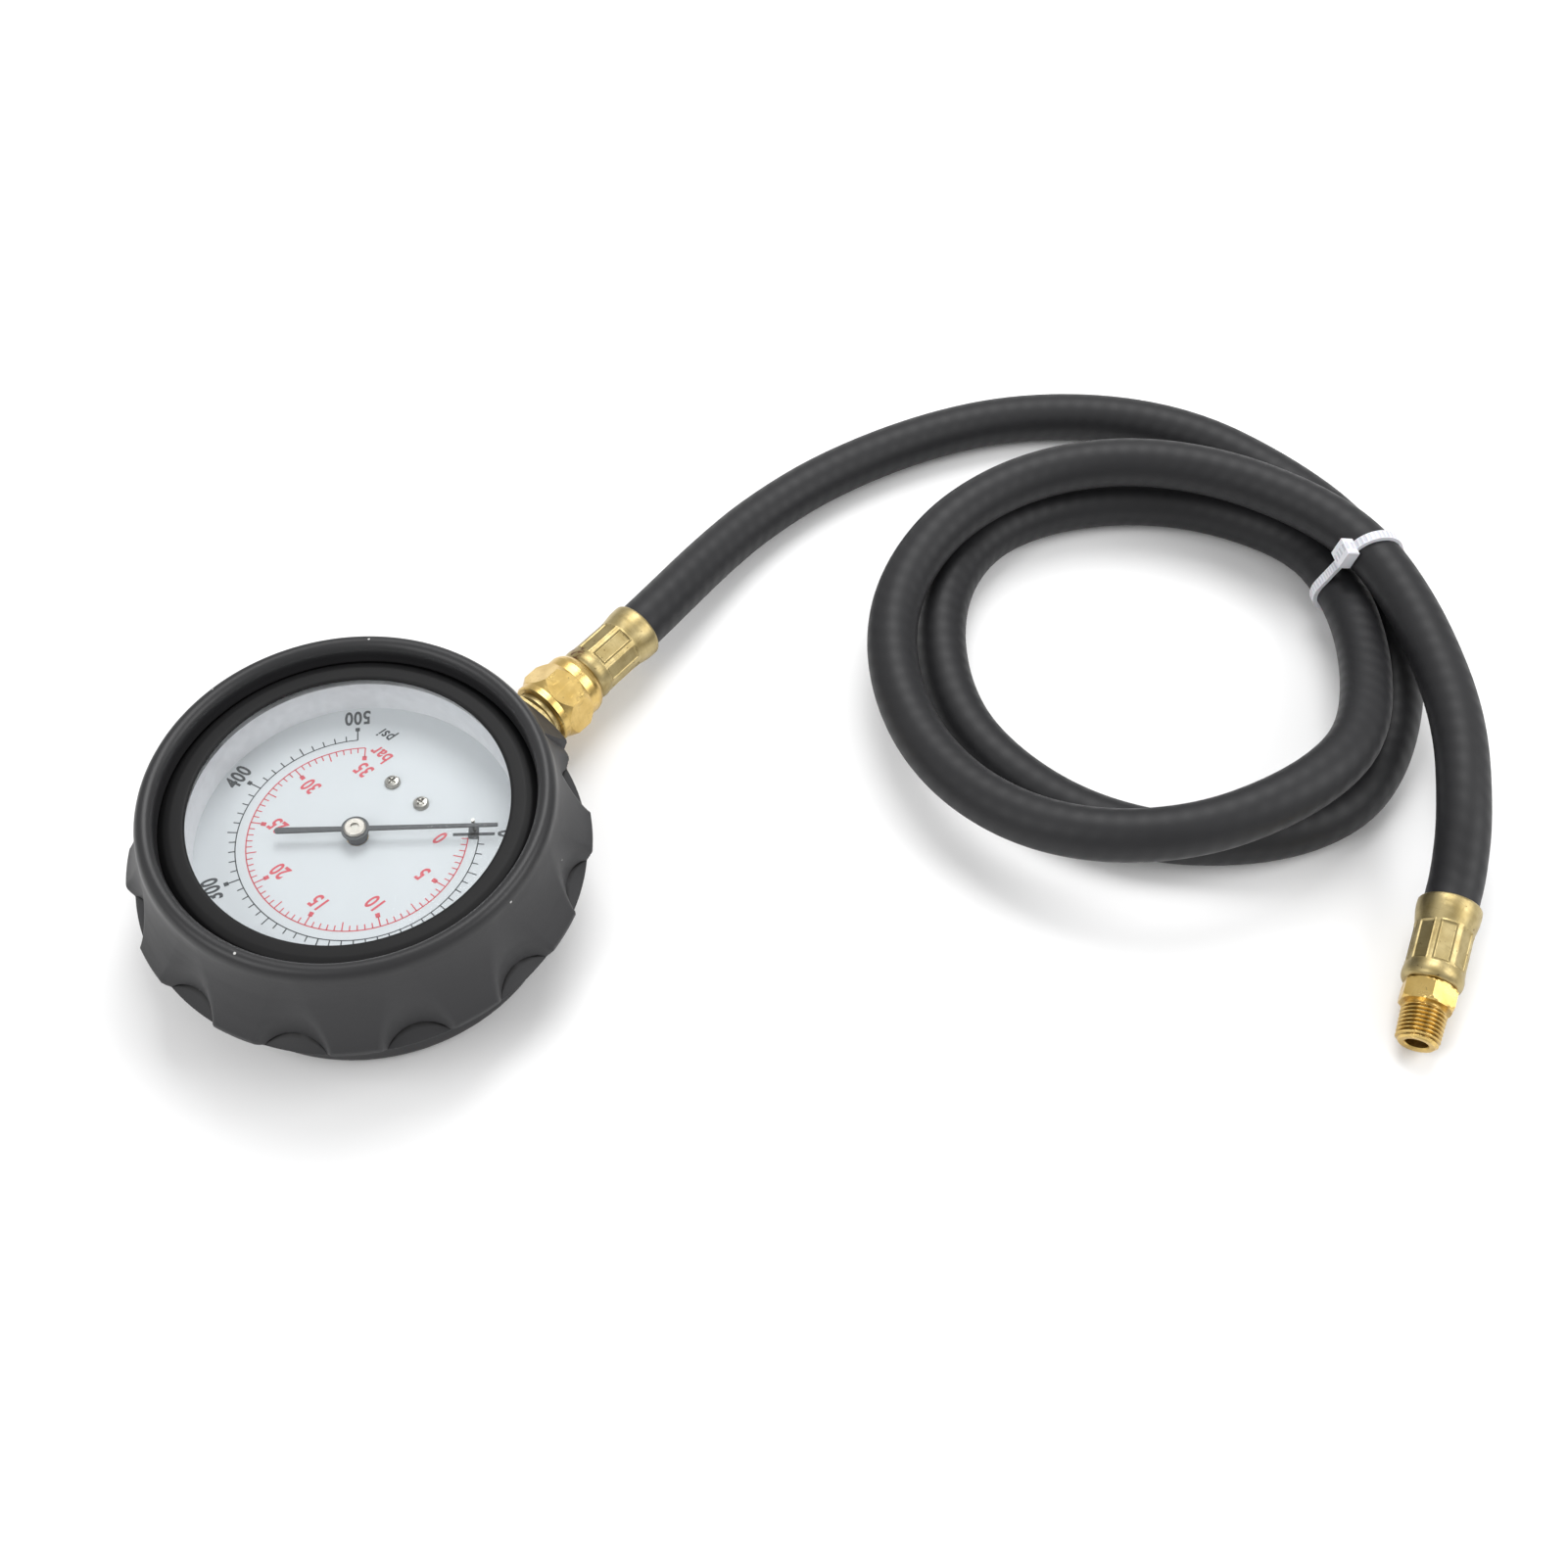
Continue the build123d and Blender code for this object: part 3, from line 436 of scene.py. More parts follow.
def grid_mesh(name, points, ring=False, tube=True, uv=None):
    """Mesh from rows and columns of points in mm: each face joins four neighbours.

    Columns close up when tube is true and rows when ring is true; doubled points are merged, so a
    row that shrinks to one point closes the surface. uv gives a pair for each row and column, with
    one more of each so that the seam has its own values.
    """
    rows, columns = points.shape[:2]
    i = np.arange(rows if ring else rows - 1)[:, None]
    j = np.arange(columns if tube else columns - 1)[None, :]
    corners = [(i + a, j + b) for a, b in ((0, 0), (0, 1), (1, 1), (1, 0))]
    faces = np.stack([(a % rows) * columns + b % columns for a, b in corners], axis=-1)
    mesh = bpy.data.meshes.new(name)
    mesh.from_pydata(points.reshape(-1, 3) * MM, [], faces.reshape(-1, 4))
    if uv is not None:
        pairs = np.stack([uv[a + 0 * b, b + 0 * a] for a, b in corners], axis=2).reshape(-1, 2)
        mesh.uv_layers.new(name="UVMap").data.foreach_set("uv", pairs.ravel())
    return mesh


def tidied(mesh):
    """Merges the doubled points of a closed surface and turns every face outwards."""
    work = bmesh.new()
    work.from_mesh(mesh)
    bmesh.ops.remove_doubles(work, verts=work.verts, dist=1e-7)
    bmesh.ops.dissolve_degenerate(work, edges=work.edges, dist=1e-8)
    bmesh.ops.recalc_face_normals(work, faces=work.faces)
    work.to_mesh(mesh)
    work.free()
    return mesh


def piece(name, mesh, body, finish, replaced=(), crease=35.0):
    """Makes the object of a finished mesh, with a finish and the solids that it replaces.

    It rides on the body, unless there is none. Edges sharper than crease degrees stay sharp.
    """
    made = linked(name, mesh)
    mesh.materials.append(FINISH[finish])
    mesh.shade_smooth()
    mesh.set_sharp_from_angle(angle=radians(crease))
    if body:
        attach(made, body)
    if replaced:
        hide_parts(*replaced)
    return made


def rounded(outline, radius, steps=4):
    """Closed outline with each corner replaced by a small arc: a blend of its two neighbours.

    A corner p becomes points (1-t)^2 a + 2t(1-t) p + t^2 b, where a and b lie on the two sides at
    the radius, or at 0.45 of a shorter side.
    """
    p = np.array(outline, float)
    ends = []
    for neighbour in (np.roll(p, 1, axis=0), np.roll(p, -1, axis=0)):
        side = neighbour - p
        length = np.hypot(*side.T)[:, None]
        ends.append(p + side / length * np.minimum(radius, 0.45 * length))
    a, b = ends
    t = np.linspace(0, 1, steps)[None, :, None]
    curve = (1 - t) ** 2 * a[:, None] + 2 * t * (1 - t) * p[:, None] + t**2 * b[:, None]
    return curve.reshape(-1, 2)


def around(profile, columns):
    """Grid of a profile (radius, height) turned about Z."""
    turn = np.linspace(0, 2 * pi, columns, endpoint=False)
    r, z = profile[:, 0][:, None], profile[:, 1][:, None]
    return np.stack([r * np.cos(turn), r * np.sin(turn), z + 0 * turn], axis=-1)


def frame_of(origin, direction):
    """An origin, and the columns x, y, z of a right-handed frame whose z is the direction."""
    z = np.array(direction, float) / np.linalg.norm(direction)
    x = np.cross((0.0, 0.0, 1.0), z)
    x /= np.linalg.norm(x)
    return np.array(origin, float), np.stack([x, np.cross(z, x), z], axis=1)


def placed(points, origin_and_axes):
    """Points of a frame, in the gauge's own coordinates."""
    origin, axes = origin_and_axes
    return origin + points @ axes.T


STEM_FRAME = frame_of((0.0, 0.0, STEM_Z), (0.0, -1.0, 0.0))
FAR_DIRECTION = np.array([
    cos(radians(FAR_TILT)) * cos(radians(FAR_HEADING)),
    cos(radians(FAR_TILT)) * sin(radians(FAR_HEADING)),
    -sin(radians(FAR_TILT)),
])
FAR_FRAME = frame_of(FAR_MOUTH, FAR_DIRECTION)


# The rubber boot

def scallop_reach(turn, z):
    """Radius of a scallop's drafted cylinder seen from the axis, growing steeply outside it.

    The cylinder stands upright at SCALLOP_CENTRE_R, and its radius is SCALLOP_R at SCALLOP_R_Z and
    grows upwards by the draft. The twelfth place, at the stem, has none.
    """
    pitch = 2 * pi / SCALLOPS
    steepness, clear_of_wall = 400.0, 70.0
    phi = (turn + pi / 2 + pitch / 2) % pitch - pitch / 2
    radius = SCALLOP_R + (z - SCALLOP_R_Z) * tan(radians(SCALLOP_DRAFT))
    inside = radius**2 - (SCALLOP_CENTRE_R * np.sin(phi)) ** 2
    reach = SCALLOP_CENTRE_R * np.cos(phi) - np.sqrt(np.maximum(inside, 0.0))
    past_edge = np.maximum(np.abs(phi) - np.arcsin(radius / SCALLOP_CENTRE_R), 0.0)
    stem = np.abs((turn + pi / 2 + pi) % (2 * pi) - pi) < pitch / 2
    return np.where(stem, clear_of_wall, reach + steepness * past_edge)


def soft_least(a, b, width):
    """The smaller of two lengths, rounded off where they are within width of each other."""
    h = np.clip(0.5 + 0.5 * (b - a) / width, 0.0, 1.0)
    return b * (1 - h) + a * h - width * h * (1 - h)


def flare(z):
    """Radius of the flared wall at a height: a polynomial of the fifth degree near seven points."""
    heights = [GRIP_Z, 22.2, 25.6, 28.5, 31.6, 35.0, LIP_FOOT_Z]
    radii = [GRIP_R, 49.62, 48.0, 46.78, 45.9, 45.15, 44.6]
    return np.polyval(np.polyfit(heights, radii, 5), z)


def boot_skin():
    """Closed skin round the boot's wall section: a radius for each turn and height.

    Lip, cup and flange are a plain turned profile. On the flared wall the radius is the smaller of
    the flare's and the scallop cylinder's, softly blended. Each scallop ends on a ledge that falls
    outwards by LEDGE_SLOPE, so the wall's foot lies where the scallop meets that cone, and a thin
    crease is pressed into the wall just above the ledge, uneven by three sine waves of the turn.
    The UV map's first number is 1 in the crease, where the rubber paints near-black shade.
    """
    turn = np.linspace(0, 2 * pi, 960, endpoint=False)
    height = np.concatenate([np.linspace(LIP_FOOT_Z, 30.0, 14), np.linspace(29.5, GRIP_Z, 24)])
    height = height[:, None]
    wall = soft_least(flare(height), scallop_reach(turn, height), 1.3)
    foot_z = np.full_like(turn, 19.9)
    for _ in range(6):
        foot_r = np.minimum(scallop_reach(turn, foot_z), 49.456)
        foot_z = np.clip(21.5 - LEDGE_SLOPE * (foot_r - 44.0), 17.68, 20.0)
    share = np.array([0.12, 0.25, 0.3767, 0.5, 0.65, 0.8])[:, None]
    low_z = GRIP_Z + share * (foot_z - GRIP_Z)
    rim = np.where(low_z > 19.5, GRIP_R, WALL_FOOT_R + (low_z - 17.6) * (1.3 / 1.9))
    low = np.minimum(rim, scallop_reach(turn, low_z))
    depth = np.clip((49.3 - foot_r) / 0.9, 0.0, 1.0)
    wave = np.sin(turn * 37.0 + 1.0) + np.sin(turn * 91.0) + np.sin(turn * 17.0)
    sink = depth * (0.46 + 0.06 * wave)
    lift = depth * (0.42 + 0.04 * wave)
    crease_r = [foot_r - 0.02, foot_r - sink, foot_r - sink, foot_r + 0.02]
    crease_z = [foot_z + lift, foot_z + 0.85 * lift, foot_z + 0.12 * lift, foot_z - 0.014]
    out = WALL_FOOT_R - foot_r
    ledge_r = [foot_r + out * t for t in (0.3, 0.6, 0.9)]
    ledge_z = [foot_z + (17.72 - foot_z) * t for t in (0.3, 0.6, 0.9)]
    lip = [
        (40.4, 35.7), (40.4, 37.4), (40.4, 38.9), (40.62, 39.75), (41.0, 40.4), (41.6, 40.82),
        (42.4, 41.0), (43.2, 40.85), (43.85, 40.3), (44.25, 39.6), (44.5, 38.9),
    ]
    under = [
        (WALL_FOOT_R, 17.62), (49.3, 17.4), (49.0, 17.2), (47.0, 17.2), (45.0, 17.2), (44.1, 17.0),
        (43.3, 16.6), (42.8, 15.9), (42.6, 15.0), (42.6, 9.0), (42.6, 3.2), (42.3, 1.9),
        (41.6, 0.9), (40.6, 0.25), (39.4, 0.0), (30.0, 0.0), (24.3, 0.0), (24.0, 0.3),
        (24.0, 2.6), (39.9, 2.6), (39.9, 27.4), (41.5, 27.4), (41.5, 35.2),
    ]
    ones = np.ones_like(turn)
    lip_r, lip_z = [[value * ones for value in column] for column in zip(*lip)]
    under_r, under_z = [[value * ones for value in column] for column in zip(*under)]
    r = np.array(lip_r + list(wall) + list(low) + crease_r + ledge_r + under_r)
    z = np.array(lip_z + list(height * ones) + list(low_z) + crease_z + ledge_z + under_z)
    start = len(lip) + len(wall) + len(low)
    uv = np.zeros((len(r) + 1, len(turn) + 1, 2))
    # crease rows' UV mask: the rubber paints near-black shade where it is 1
    uv[start : start + 4, :-1, 0] = depth * (1.0 + 0.25 * np.minimum(wave, 0.0))
    uv[:, -1] = uv[:, 0]
    points = np.stack([r * np.cos(turn), r * np.sin(turn), z], axis=-1)
    return tidied(grid_mesh("rubber_boot_skin", points, ring=True, uv=uv))


def stem_boss():
    """Block of the flared wall that stands 1.7 mm prouder at the stem, over x and the section.

    Each column is the wall's outer section at one x: y is the root of the radius squared less x
    squared. The prouder part dies away upwards, and the section closes inside the wall. A column
    of equal points, the middle of the first section, closes the block at -X. It is open at +X.
    """
    back_y = -42.4
    x = np.linspace(-BOSS_HALF_WIDTH, BOSS_HALF_WIDTH, 61)
    up = np.linspace(21.2, BOSS_TOP_Z, 22)
    fading = [1.0, 0.85, 0.6, 0.25, 0.03, -0.05]
    share = np.interp(up, [GRIP_Z, 22.2, 25.6, 28.5, 31.0, BOSS_TOP_Z], fading)
    z = np.concatenate([[BOSS_FOOT_Z, BOSS_FOOT_Z, 17.6], np.linspace(19.5, GRIP_Z, 3), up])
    chamfer = [45.0, BOSS_R - 1.7, BOSS_R - 1.3]
    r = np.concatenate([chamfer, [BOSS_R] * 3, flare(up) + (BOSS_R - GRIP_R) * share])
    y = -np.sqrt(r[:, None] ** 2 - x**2)
    face = np.stack(np.broadcast_arrays(x, y, z[:, None]), axis=-1)
    top = np.stack(np.broadcast_arrays(x[None], back_y, BOSS_TOP_Z), axis=-1)
    foot = np.stack(np.broadcast_arrays(x[None], back_y, BOSS_FOOT_Z), axis=-1)
    points = np.concatenate([foot, face, top])
    middle = points[:, :1].mean(axis=0, keepdims=True).repeat(len(points), axis=0)
    points = np.concatenate([middle, points], axis=1)
    return tidied(grid_mesh("stem_boss", points, ring=True, tube=False))


def rubber_boot():
    """The turned and scalloped skin with the stem's boss and collar joined on and its hole cut."""
    boot = piece(
        "rubber_boot_skin", boot_skin(), "gauge", "boot_rubber", ["rubber_boot"]
    )
    collar = [(0, 41.2), (COLLAR_R, 41.2), (COLLAR_R, 50.5), (COLLAR_R - 0.3, 50.8), (0, 50.8)]
    hole = [(0, 36.0), (STEM_HOLE_R, 36.0), (STEM_HOLE_R, 56.0), (0, 56.0)]
    tools = [("UNION", linked("stem_boss", stem_boss()))]
    for name, profile, kind in (("collar", collar, "UNION"), ("hole", hole, "DIFFERENCE")):
        mesh = tidied(grid_mesh(name, placed(around(np.array(profile), 96), STEM_FRAME)))
        tools.append((kind, linked(name, mesh)))
    for kind, tool in tools:
        step = boot.modifiers.new(tool.name, "BOOLEAN")
        step.operation = kind
        step.object = tool
    joined = mesh_of(boot)
    boot.modifiers.clear()
    boot.data = joined
    for _, tool in tools:
        bpy.data.objects.remove(tool)
    joined.shade_smooth()
    joined.set_sharp_from_angle(angle=radians(35.0))


# Bezel, Bourdon tube and the bush's skirt

def bezel():
    """Turned ring: polished inner edge, broad flat face, wide bevel and straight side."""
    outline = [
        (34.5, 36.1), (34.5, 36.7), (34.95, 37.0), (37.6, 37.0), (39.1, 36.5), (41.1, 34.5),
        (41.4, 34.0), (41.4, 27.6), (39.85, 27.6), (39.85, 35.8), (36.0, 35.8),
    ]
    mesh = tidied(grid_mesh("bezel_skin", around(rounded(outline, 0.35), 288), ring=True))
    piece("bezel_skin", mesh, "gauge", "bezel_black", ["bezel_ring"], 50.0)


def bourdon_tube():
    """The flattened tube's closed wall: an ellipse carried round 266 degrees, outside and inside.

    It rides on no body, so it keeps its rest shape.
    """
    a = np.linspace(0, 2 * pi, 48, endpoint=False)
    turn = np.radians(np.linspace(-8.0, 258.0, 160))[:, None]
    walls = []
    for depth, width in ((1.7, 5.0), (1.25, 4.55)):
        r = TUBE_R + depth * np.cos(a)
        z = STEM_Z + width * np.sin(a) + 0 * turn
        walls.append(np.stack([r * np.cos(turn), r * np.sin(turn), z], axis=-1))
    mesh = grid_mesh("bourdon_tube_skin", np.concatenate([walls[0], walls[1][::-1]]), ring=True)
    tube = piece(
        "bourdon_tube_skin", tidied(mesh), None, "bronze_tube", ["bourdon_tube"]
    )
    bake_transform(tube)


def bush_skirt():
    """Blackened skirt of the pointer's bush, a short turned sleeve down to the dial."""
    outline = np.array([(1.95, 25.08), (2.3, 25.08), (2.3, 26.4), (1.95, 26.4)])
    mesh = tidied(grid_mesh("bush_skirt", around(outline, 64), ring=True))
    piece("bush_skirt", mesh, "pointer_group", "nickel_hub")


rubber_boot()
bezel()
bourdon_tube()
bush_skirt()


# Dial print

def scale_angle(psi):
    """Azimuth of a pressure on the dial."""
    return SCALE_ZERO - DEGREES_PER_PSI * np.asarray(psi, float)


def bars(azimuth, inner, outer, width):
    """Flat strips lying along radii: a pair of corners at each end, half the width to each side."""
    a = np.radians(np.atleast_1d(azimuth))
    radial = np.stack([np.cos(a), np.sin(a)], axis=-1)
    across = np.stack([-np.sin(a), np.cos(a)], axis=-1) * (width / 2)
    near, far = radial * inner, radial * outer
    return np.stack([near - across, far - across, far + across, near + across], axis=1)


def arc_strip(radius, start, stop, width):
    """Flat strip along an arc, cut in short quads."""
    a = np.radians(np.linspace(start, stop, 161))
    way = np.stack([np.cos(a), np.sin(a)], axis=-1)
    inner, outer = way * (radius - width / 2), way * (radius + width / 2)
    return np.stack([inner[1:], outer[1:], outer[:-1], inner[:-1]], axis=1)


def printed(name, quads, finish):
    """Layer of ink: all quads in one mesh a hair above the dial, facing up."""
    flat = np.concatenate(quads).reshape(-1, 2)
    points = np.concatenate([flat, np.full((len(flat), 1), PRINT_Z)], axis=1)
    mesh = bpy.data.meshes.new(name)
    mesh.from_pydata(points * MM, [], np.arange(len(flat)).reshape(-1, 4))
    mesh.update()
    piece(name, mesh, "gauge", finish)


def scale_lines():
    """Ticks, arcs and square marks of both scales, with the block and bar of the rest zone."""
    tens = np.array([v for v in range(20, 500, 10) if v % 50])
    fifties = np.arange(50, 500, 100)
    hundreds = np.arange(100, 501, 100)
    black = [
        arc_strip(BLACK_R + 0.05, scale_angle(12), scale_angle(500), 0.26),
        bars(scale_angle(tens), BLACK_R, 27.8, 0.28),
        bars(scale_angle(fifties), BLACK_R, 28.5, 0.28),
        bars(scale_angle(hundreds), BLACK_R, 29.2, 0.32),
        bars(scale_angle(hundreds), 28.85, 29.85, 1.0),
        bars(REST_AZIMUTH, 20.7, 29.8, 0.8),
        arc_strip(25.2, -133.95, -141.85, 2.3),
    ]
    halves = np.array([v for v in np.arange(1.0, 35.0, 0.5) if v % 2.5]) * PSI_PER_BAR
    mids = np.arange(2.5, 35.0, 5.0) * PSI_PER_BAR
    fives = np.arange(5, 36, 5) * PSI_PER_BAR
    red = [
        arc_strip(RED_R, scale_angle(0.9 * PSI_PER_BAR), scale_angle(35 * PSI_PER_BAR), 0.28),
        bars(scale_angle(halves), 22.7, RED_R, 0.27),
        bars(scale_angle(mids), 21.8, RED_R, 0.27),
        bars(scale_angle(fives), 21.5, RED_R, 0.3),
        bars(scale_angle(fives), 20.6, 21.75, 1.0),
    ]
    printed("scale_black", black, "ink_black")
    printed("scale_red", red, "ink_red")


def numeral(name, text, centre, height, turn, width, slant, finish, weight):
    """Flat figures on the dial: height is theirs in mm, width narrows and slant leans them.

    Weight thickens their strokes.
    """
    curve = bpy.data.curves.new(name, "FONT")
    curve.body = text
    curve.size = 1.0
    curve.align_x = "CENTER"
    curve.shear = slant
    curve.offset = weight
    curve.resolution_u = 4
    curve.space_character = 1.08
    temporary = linked(name, curve)
    mesh = mesh_of(temporary)
    bpy.data.objects.remove(temporary)
    points = points_of(mesh)
    low, high = points.min(axis=0), points.max(axis=0)
    points = (points - (low + high) / 2) * (height / (high[1] - low[1]))
    c, s = cos(radians(turn)), sin(radians(turn))
    x = points[:, 0] * width
    y = points[:, 1]
    flat = [centre[0] + c * x - s * y, centre[1] + s * x + c * y, 0 * x + PRINT_Z]
    mesh.vertices.foreach_set("co", (np.stack(flat, axis=1) * MM).ravel())
    mesh.update()
    mesh.materials.clear()
    piece(name, mesh, "gauge", finish)


def at(radius, azimuth):
    """Place on the dial."""
    return (radius * cos(radians(azimuth)), radius * sin(radians(azimuth)))


def scale_figures():
    """Black figures turned along their scale, 0 and 500 the other way up, and red leaning ones."""
    black = [(psi, 32.6, float(scale_angle(psi))) for psi in (100, 200, 300, 400, 500)]
    black.append((0, 32.3, REST_AZIMUTH))
    for psi, radius, azimuth in black:
        turn = azimuth + 90 if psi in (0, 500) else azimuth - 90
        numeral(f"figure_psi_{psi}", str(psi), at(radius, azimuth), 3.9, turn,
                0.72, 0.0, "ink_black", 0.028)
    for bar in range(0, 36, 5):
        azimuth = -141.55 if bar == 0 else float(scale_angle(bar * PSI_PER_BAR))
        numeral(f"figure_bar_{bar}", str(bar), at(17.95, azimuth), 3.7, PRINT_TURN,
                0.68, 0.22, "ink_red", 0.028)
    numeral("word_psi", "psi", (15.1, -23.65), 3.7, PRINT_TURN, 0.74, 0.22, "ink_black", 0.022)
    numeral("word_bar", "bar", (12.2, -18.6), 3.5, PRINT_TURN, 0.74, 0.22, "ink_red", 0.022)


scale_lines()
scale_figures()


# Hose: its route through points (x, y, z)

LEAD = [
    (0.0, -78.6, 12.0), (0.2, -90.4, 12.0), (1.5, -103.0, 10.6), (3.6, -120.1, 8.4),
    (4.3, -140.1, 6.6), (0.3, -164.0, 6.1), (-10.1, -189.9, 6.1), (-24.0, -211.1, 6.1),
    (-43.8, -227.9, 6.1), (-65.5, -237.1, 6.1), (-88.7, -238.0, 6.1), (-110.2, -234.4, 6.6),
    (-124.0, -226.6, 7.3), (-136.0, -216.4, 6.9), (-145.0, -204.5, 6.2),
]
LOOP_LOW = [
    (-153.0, -190.5, 6.05), (-158.3, -174.9, 6.05), (-159.2, -160.4, 6.1), (-154.0, -146.5, 6.2),
    (-144.0, -133.9, 6.3), (-128.6, -122.4, 6.1), (-108.9, -116.0, 6.05), (-87.9, -116.8, 6.05),
    (-71.6, -123.0, 6.05), (-56.5, -136.5, 6.05), (-46.5, -153.2, 6.05), (-43.8, -171.3, 6.05),
    (-49.7, -188.0, 6.05), (-61.9, -203.4, 6.05), (-78.0, -214.7, 6.2), (-96.7, -219.8, 7.2),
    (-111.5, -218.4, 9.1),
]
LOOP_HIGH = [
    (-123.5, -211.2, 10.8), (-134.9, -200.2, 13.0), (-145.3, -185.0, 16.4), (-152.8, -168.1, 21.0),
    (-154.4, -153.1, 24.2), (-150.3, -136.1, 25.2), (-140.6, -119.1, 23.9), (-124.8, -106.1, 21.0),
    (-106.5, -100.0, 17.7), (-86.7, -101.2, 14.6), (-68.2, -108.7, 13.0), (-52.4, -121.7, 13.4),
    (-42.5, -137.5, 14.6), (-38.9, -157.0, 16.6), (-42.1, -175.3, 18.3), (-51.0, -192.6, 19.5),
    (-65.3, -206.8, 20.3), (-83.8, -216.2, 20.6), (-103.9, -219.6, 21.2),
]
TAIL = [
    (-119.8, -217.9, 22.3), (-133.5, -212.6, 22.4), (-151.0, -201.1, 21.5), (-168.9, -184.4, 20.3),
    (-181.8, -164.6, 17.8), (-188.0, -152.9, 13.0),
]


def hose_line():
    """The hose's centreline, a smooth spline that follows the route's control points, in mm."""
    start = [(0.0, HOSE_START_Y, STEM_Z)]
    end = [tuple(FAR_MOUTH + FAR_DIRECTION * depth) for depth in (0.0, 18.6)]
    route = start + LEAD + LOOP_LOW + LOOP_HIGH + TAIL + end
    curve = bpy.data.curves.new("hose_line", "CURVE")
    curve.dimensions = "3D"
    curve.resolution_u = 12
    spline = curve.splines.new("NURBS")
    spline.points.add(len(route) - 1)
    spline.points.foreach_set("co", np.array([(*p, 1.0) for p in route]).ravel())
    spline.order_u = 3
    spline.use_endpoint_u = True
    holder = linked("hose_line", curve)
    points = points_of(mesh_of(holder))
    bpy.data.objects.remove(holder)
    return points


def carried(line, radius, columns):
    """Grid of a circle carried along a line without twist, and its UV: turn, and metres run.

    The frames come from turning the first one by the least rotation from step to step; a circle of
    the radius stands across the line at each point, smaller by PRESSED_IN over the first and last
    16 mm, under the crimps.
    """
    step = np.diff(line, axis=0)
    run = np.concatenate([[0.0], np.cumsum(np.linalg.norm(step, axis=1))])
    way = np.gradient(line, axis=0)
    way /= np.linalg.norm(way, axis=1)[:, None]
    side = np.empty_like(way)
    side[0] = np.cross(way[0], (0.0, 0.0, 1.0))
    for k in range(1, len(way)):
        side[k] = side[k - 1] - way[k] * np.dot(side[k - 1], way[k])
        side[k] /= np.linalg.norm(side[k])
    up = np.cross(way, side)
    turn = np.linspace(0, 2 * pi, columns, endpoint=False)
    ring = np.cos(turn)[None, :, None] * side[:, None] + np.sin(turn)[None, :, None] * up[:, None]
    inside = np.minimum(run, run[-1] - run)
    pressed = radius - PRESSED_IN * np.clip((18.0 - inside) / 2.0, 0.0, 1.0)
    points = line[:, None] + ring * pressed[:, None, None]
    u = np.linspace(0, 1, columns + 1)
    uv = np.stack(np.broadcast_arrays(u[None, :], run[:, None] * MM), axis=-1)
    return points, uv, run[-1]


def hose():
    """The hose's skin, closed at both ends, with its centreline and length."""
    columns = 40
    line = hose_line()
    points, uv, length = carried(line, HOSE_R, columns)
    caps = np.repeat(line[[0, -1]][:, None], columns, axis=1)
    points = np.concatenate([caps[:1], points, caps[1:]])
    uv = np.concatenate([uv[:1], uv, uv[-1:]])
    mesh = tidied(grid_mesh("hose_skin", points, uv=uv))
    tube = piece("hose_skin", mesh, "gauge", "hose_rubber",
                 ["hose_lead", "hose_coil", "hose_tail"], 60.0)
    return tube, line, length


hose_skin, line, hose_length = hose()
print("hose length mm", round(hose_length, 1))


# Ferrules and end adapter

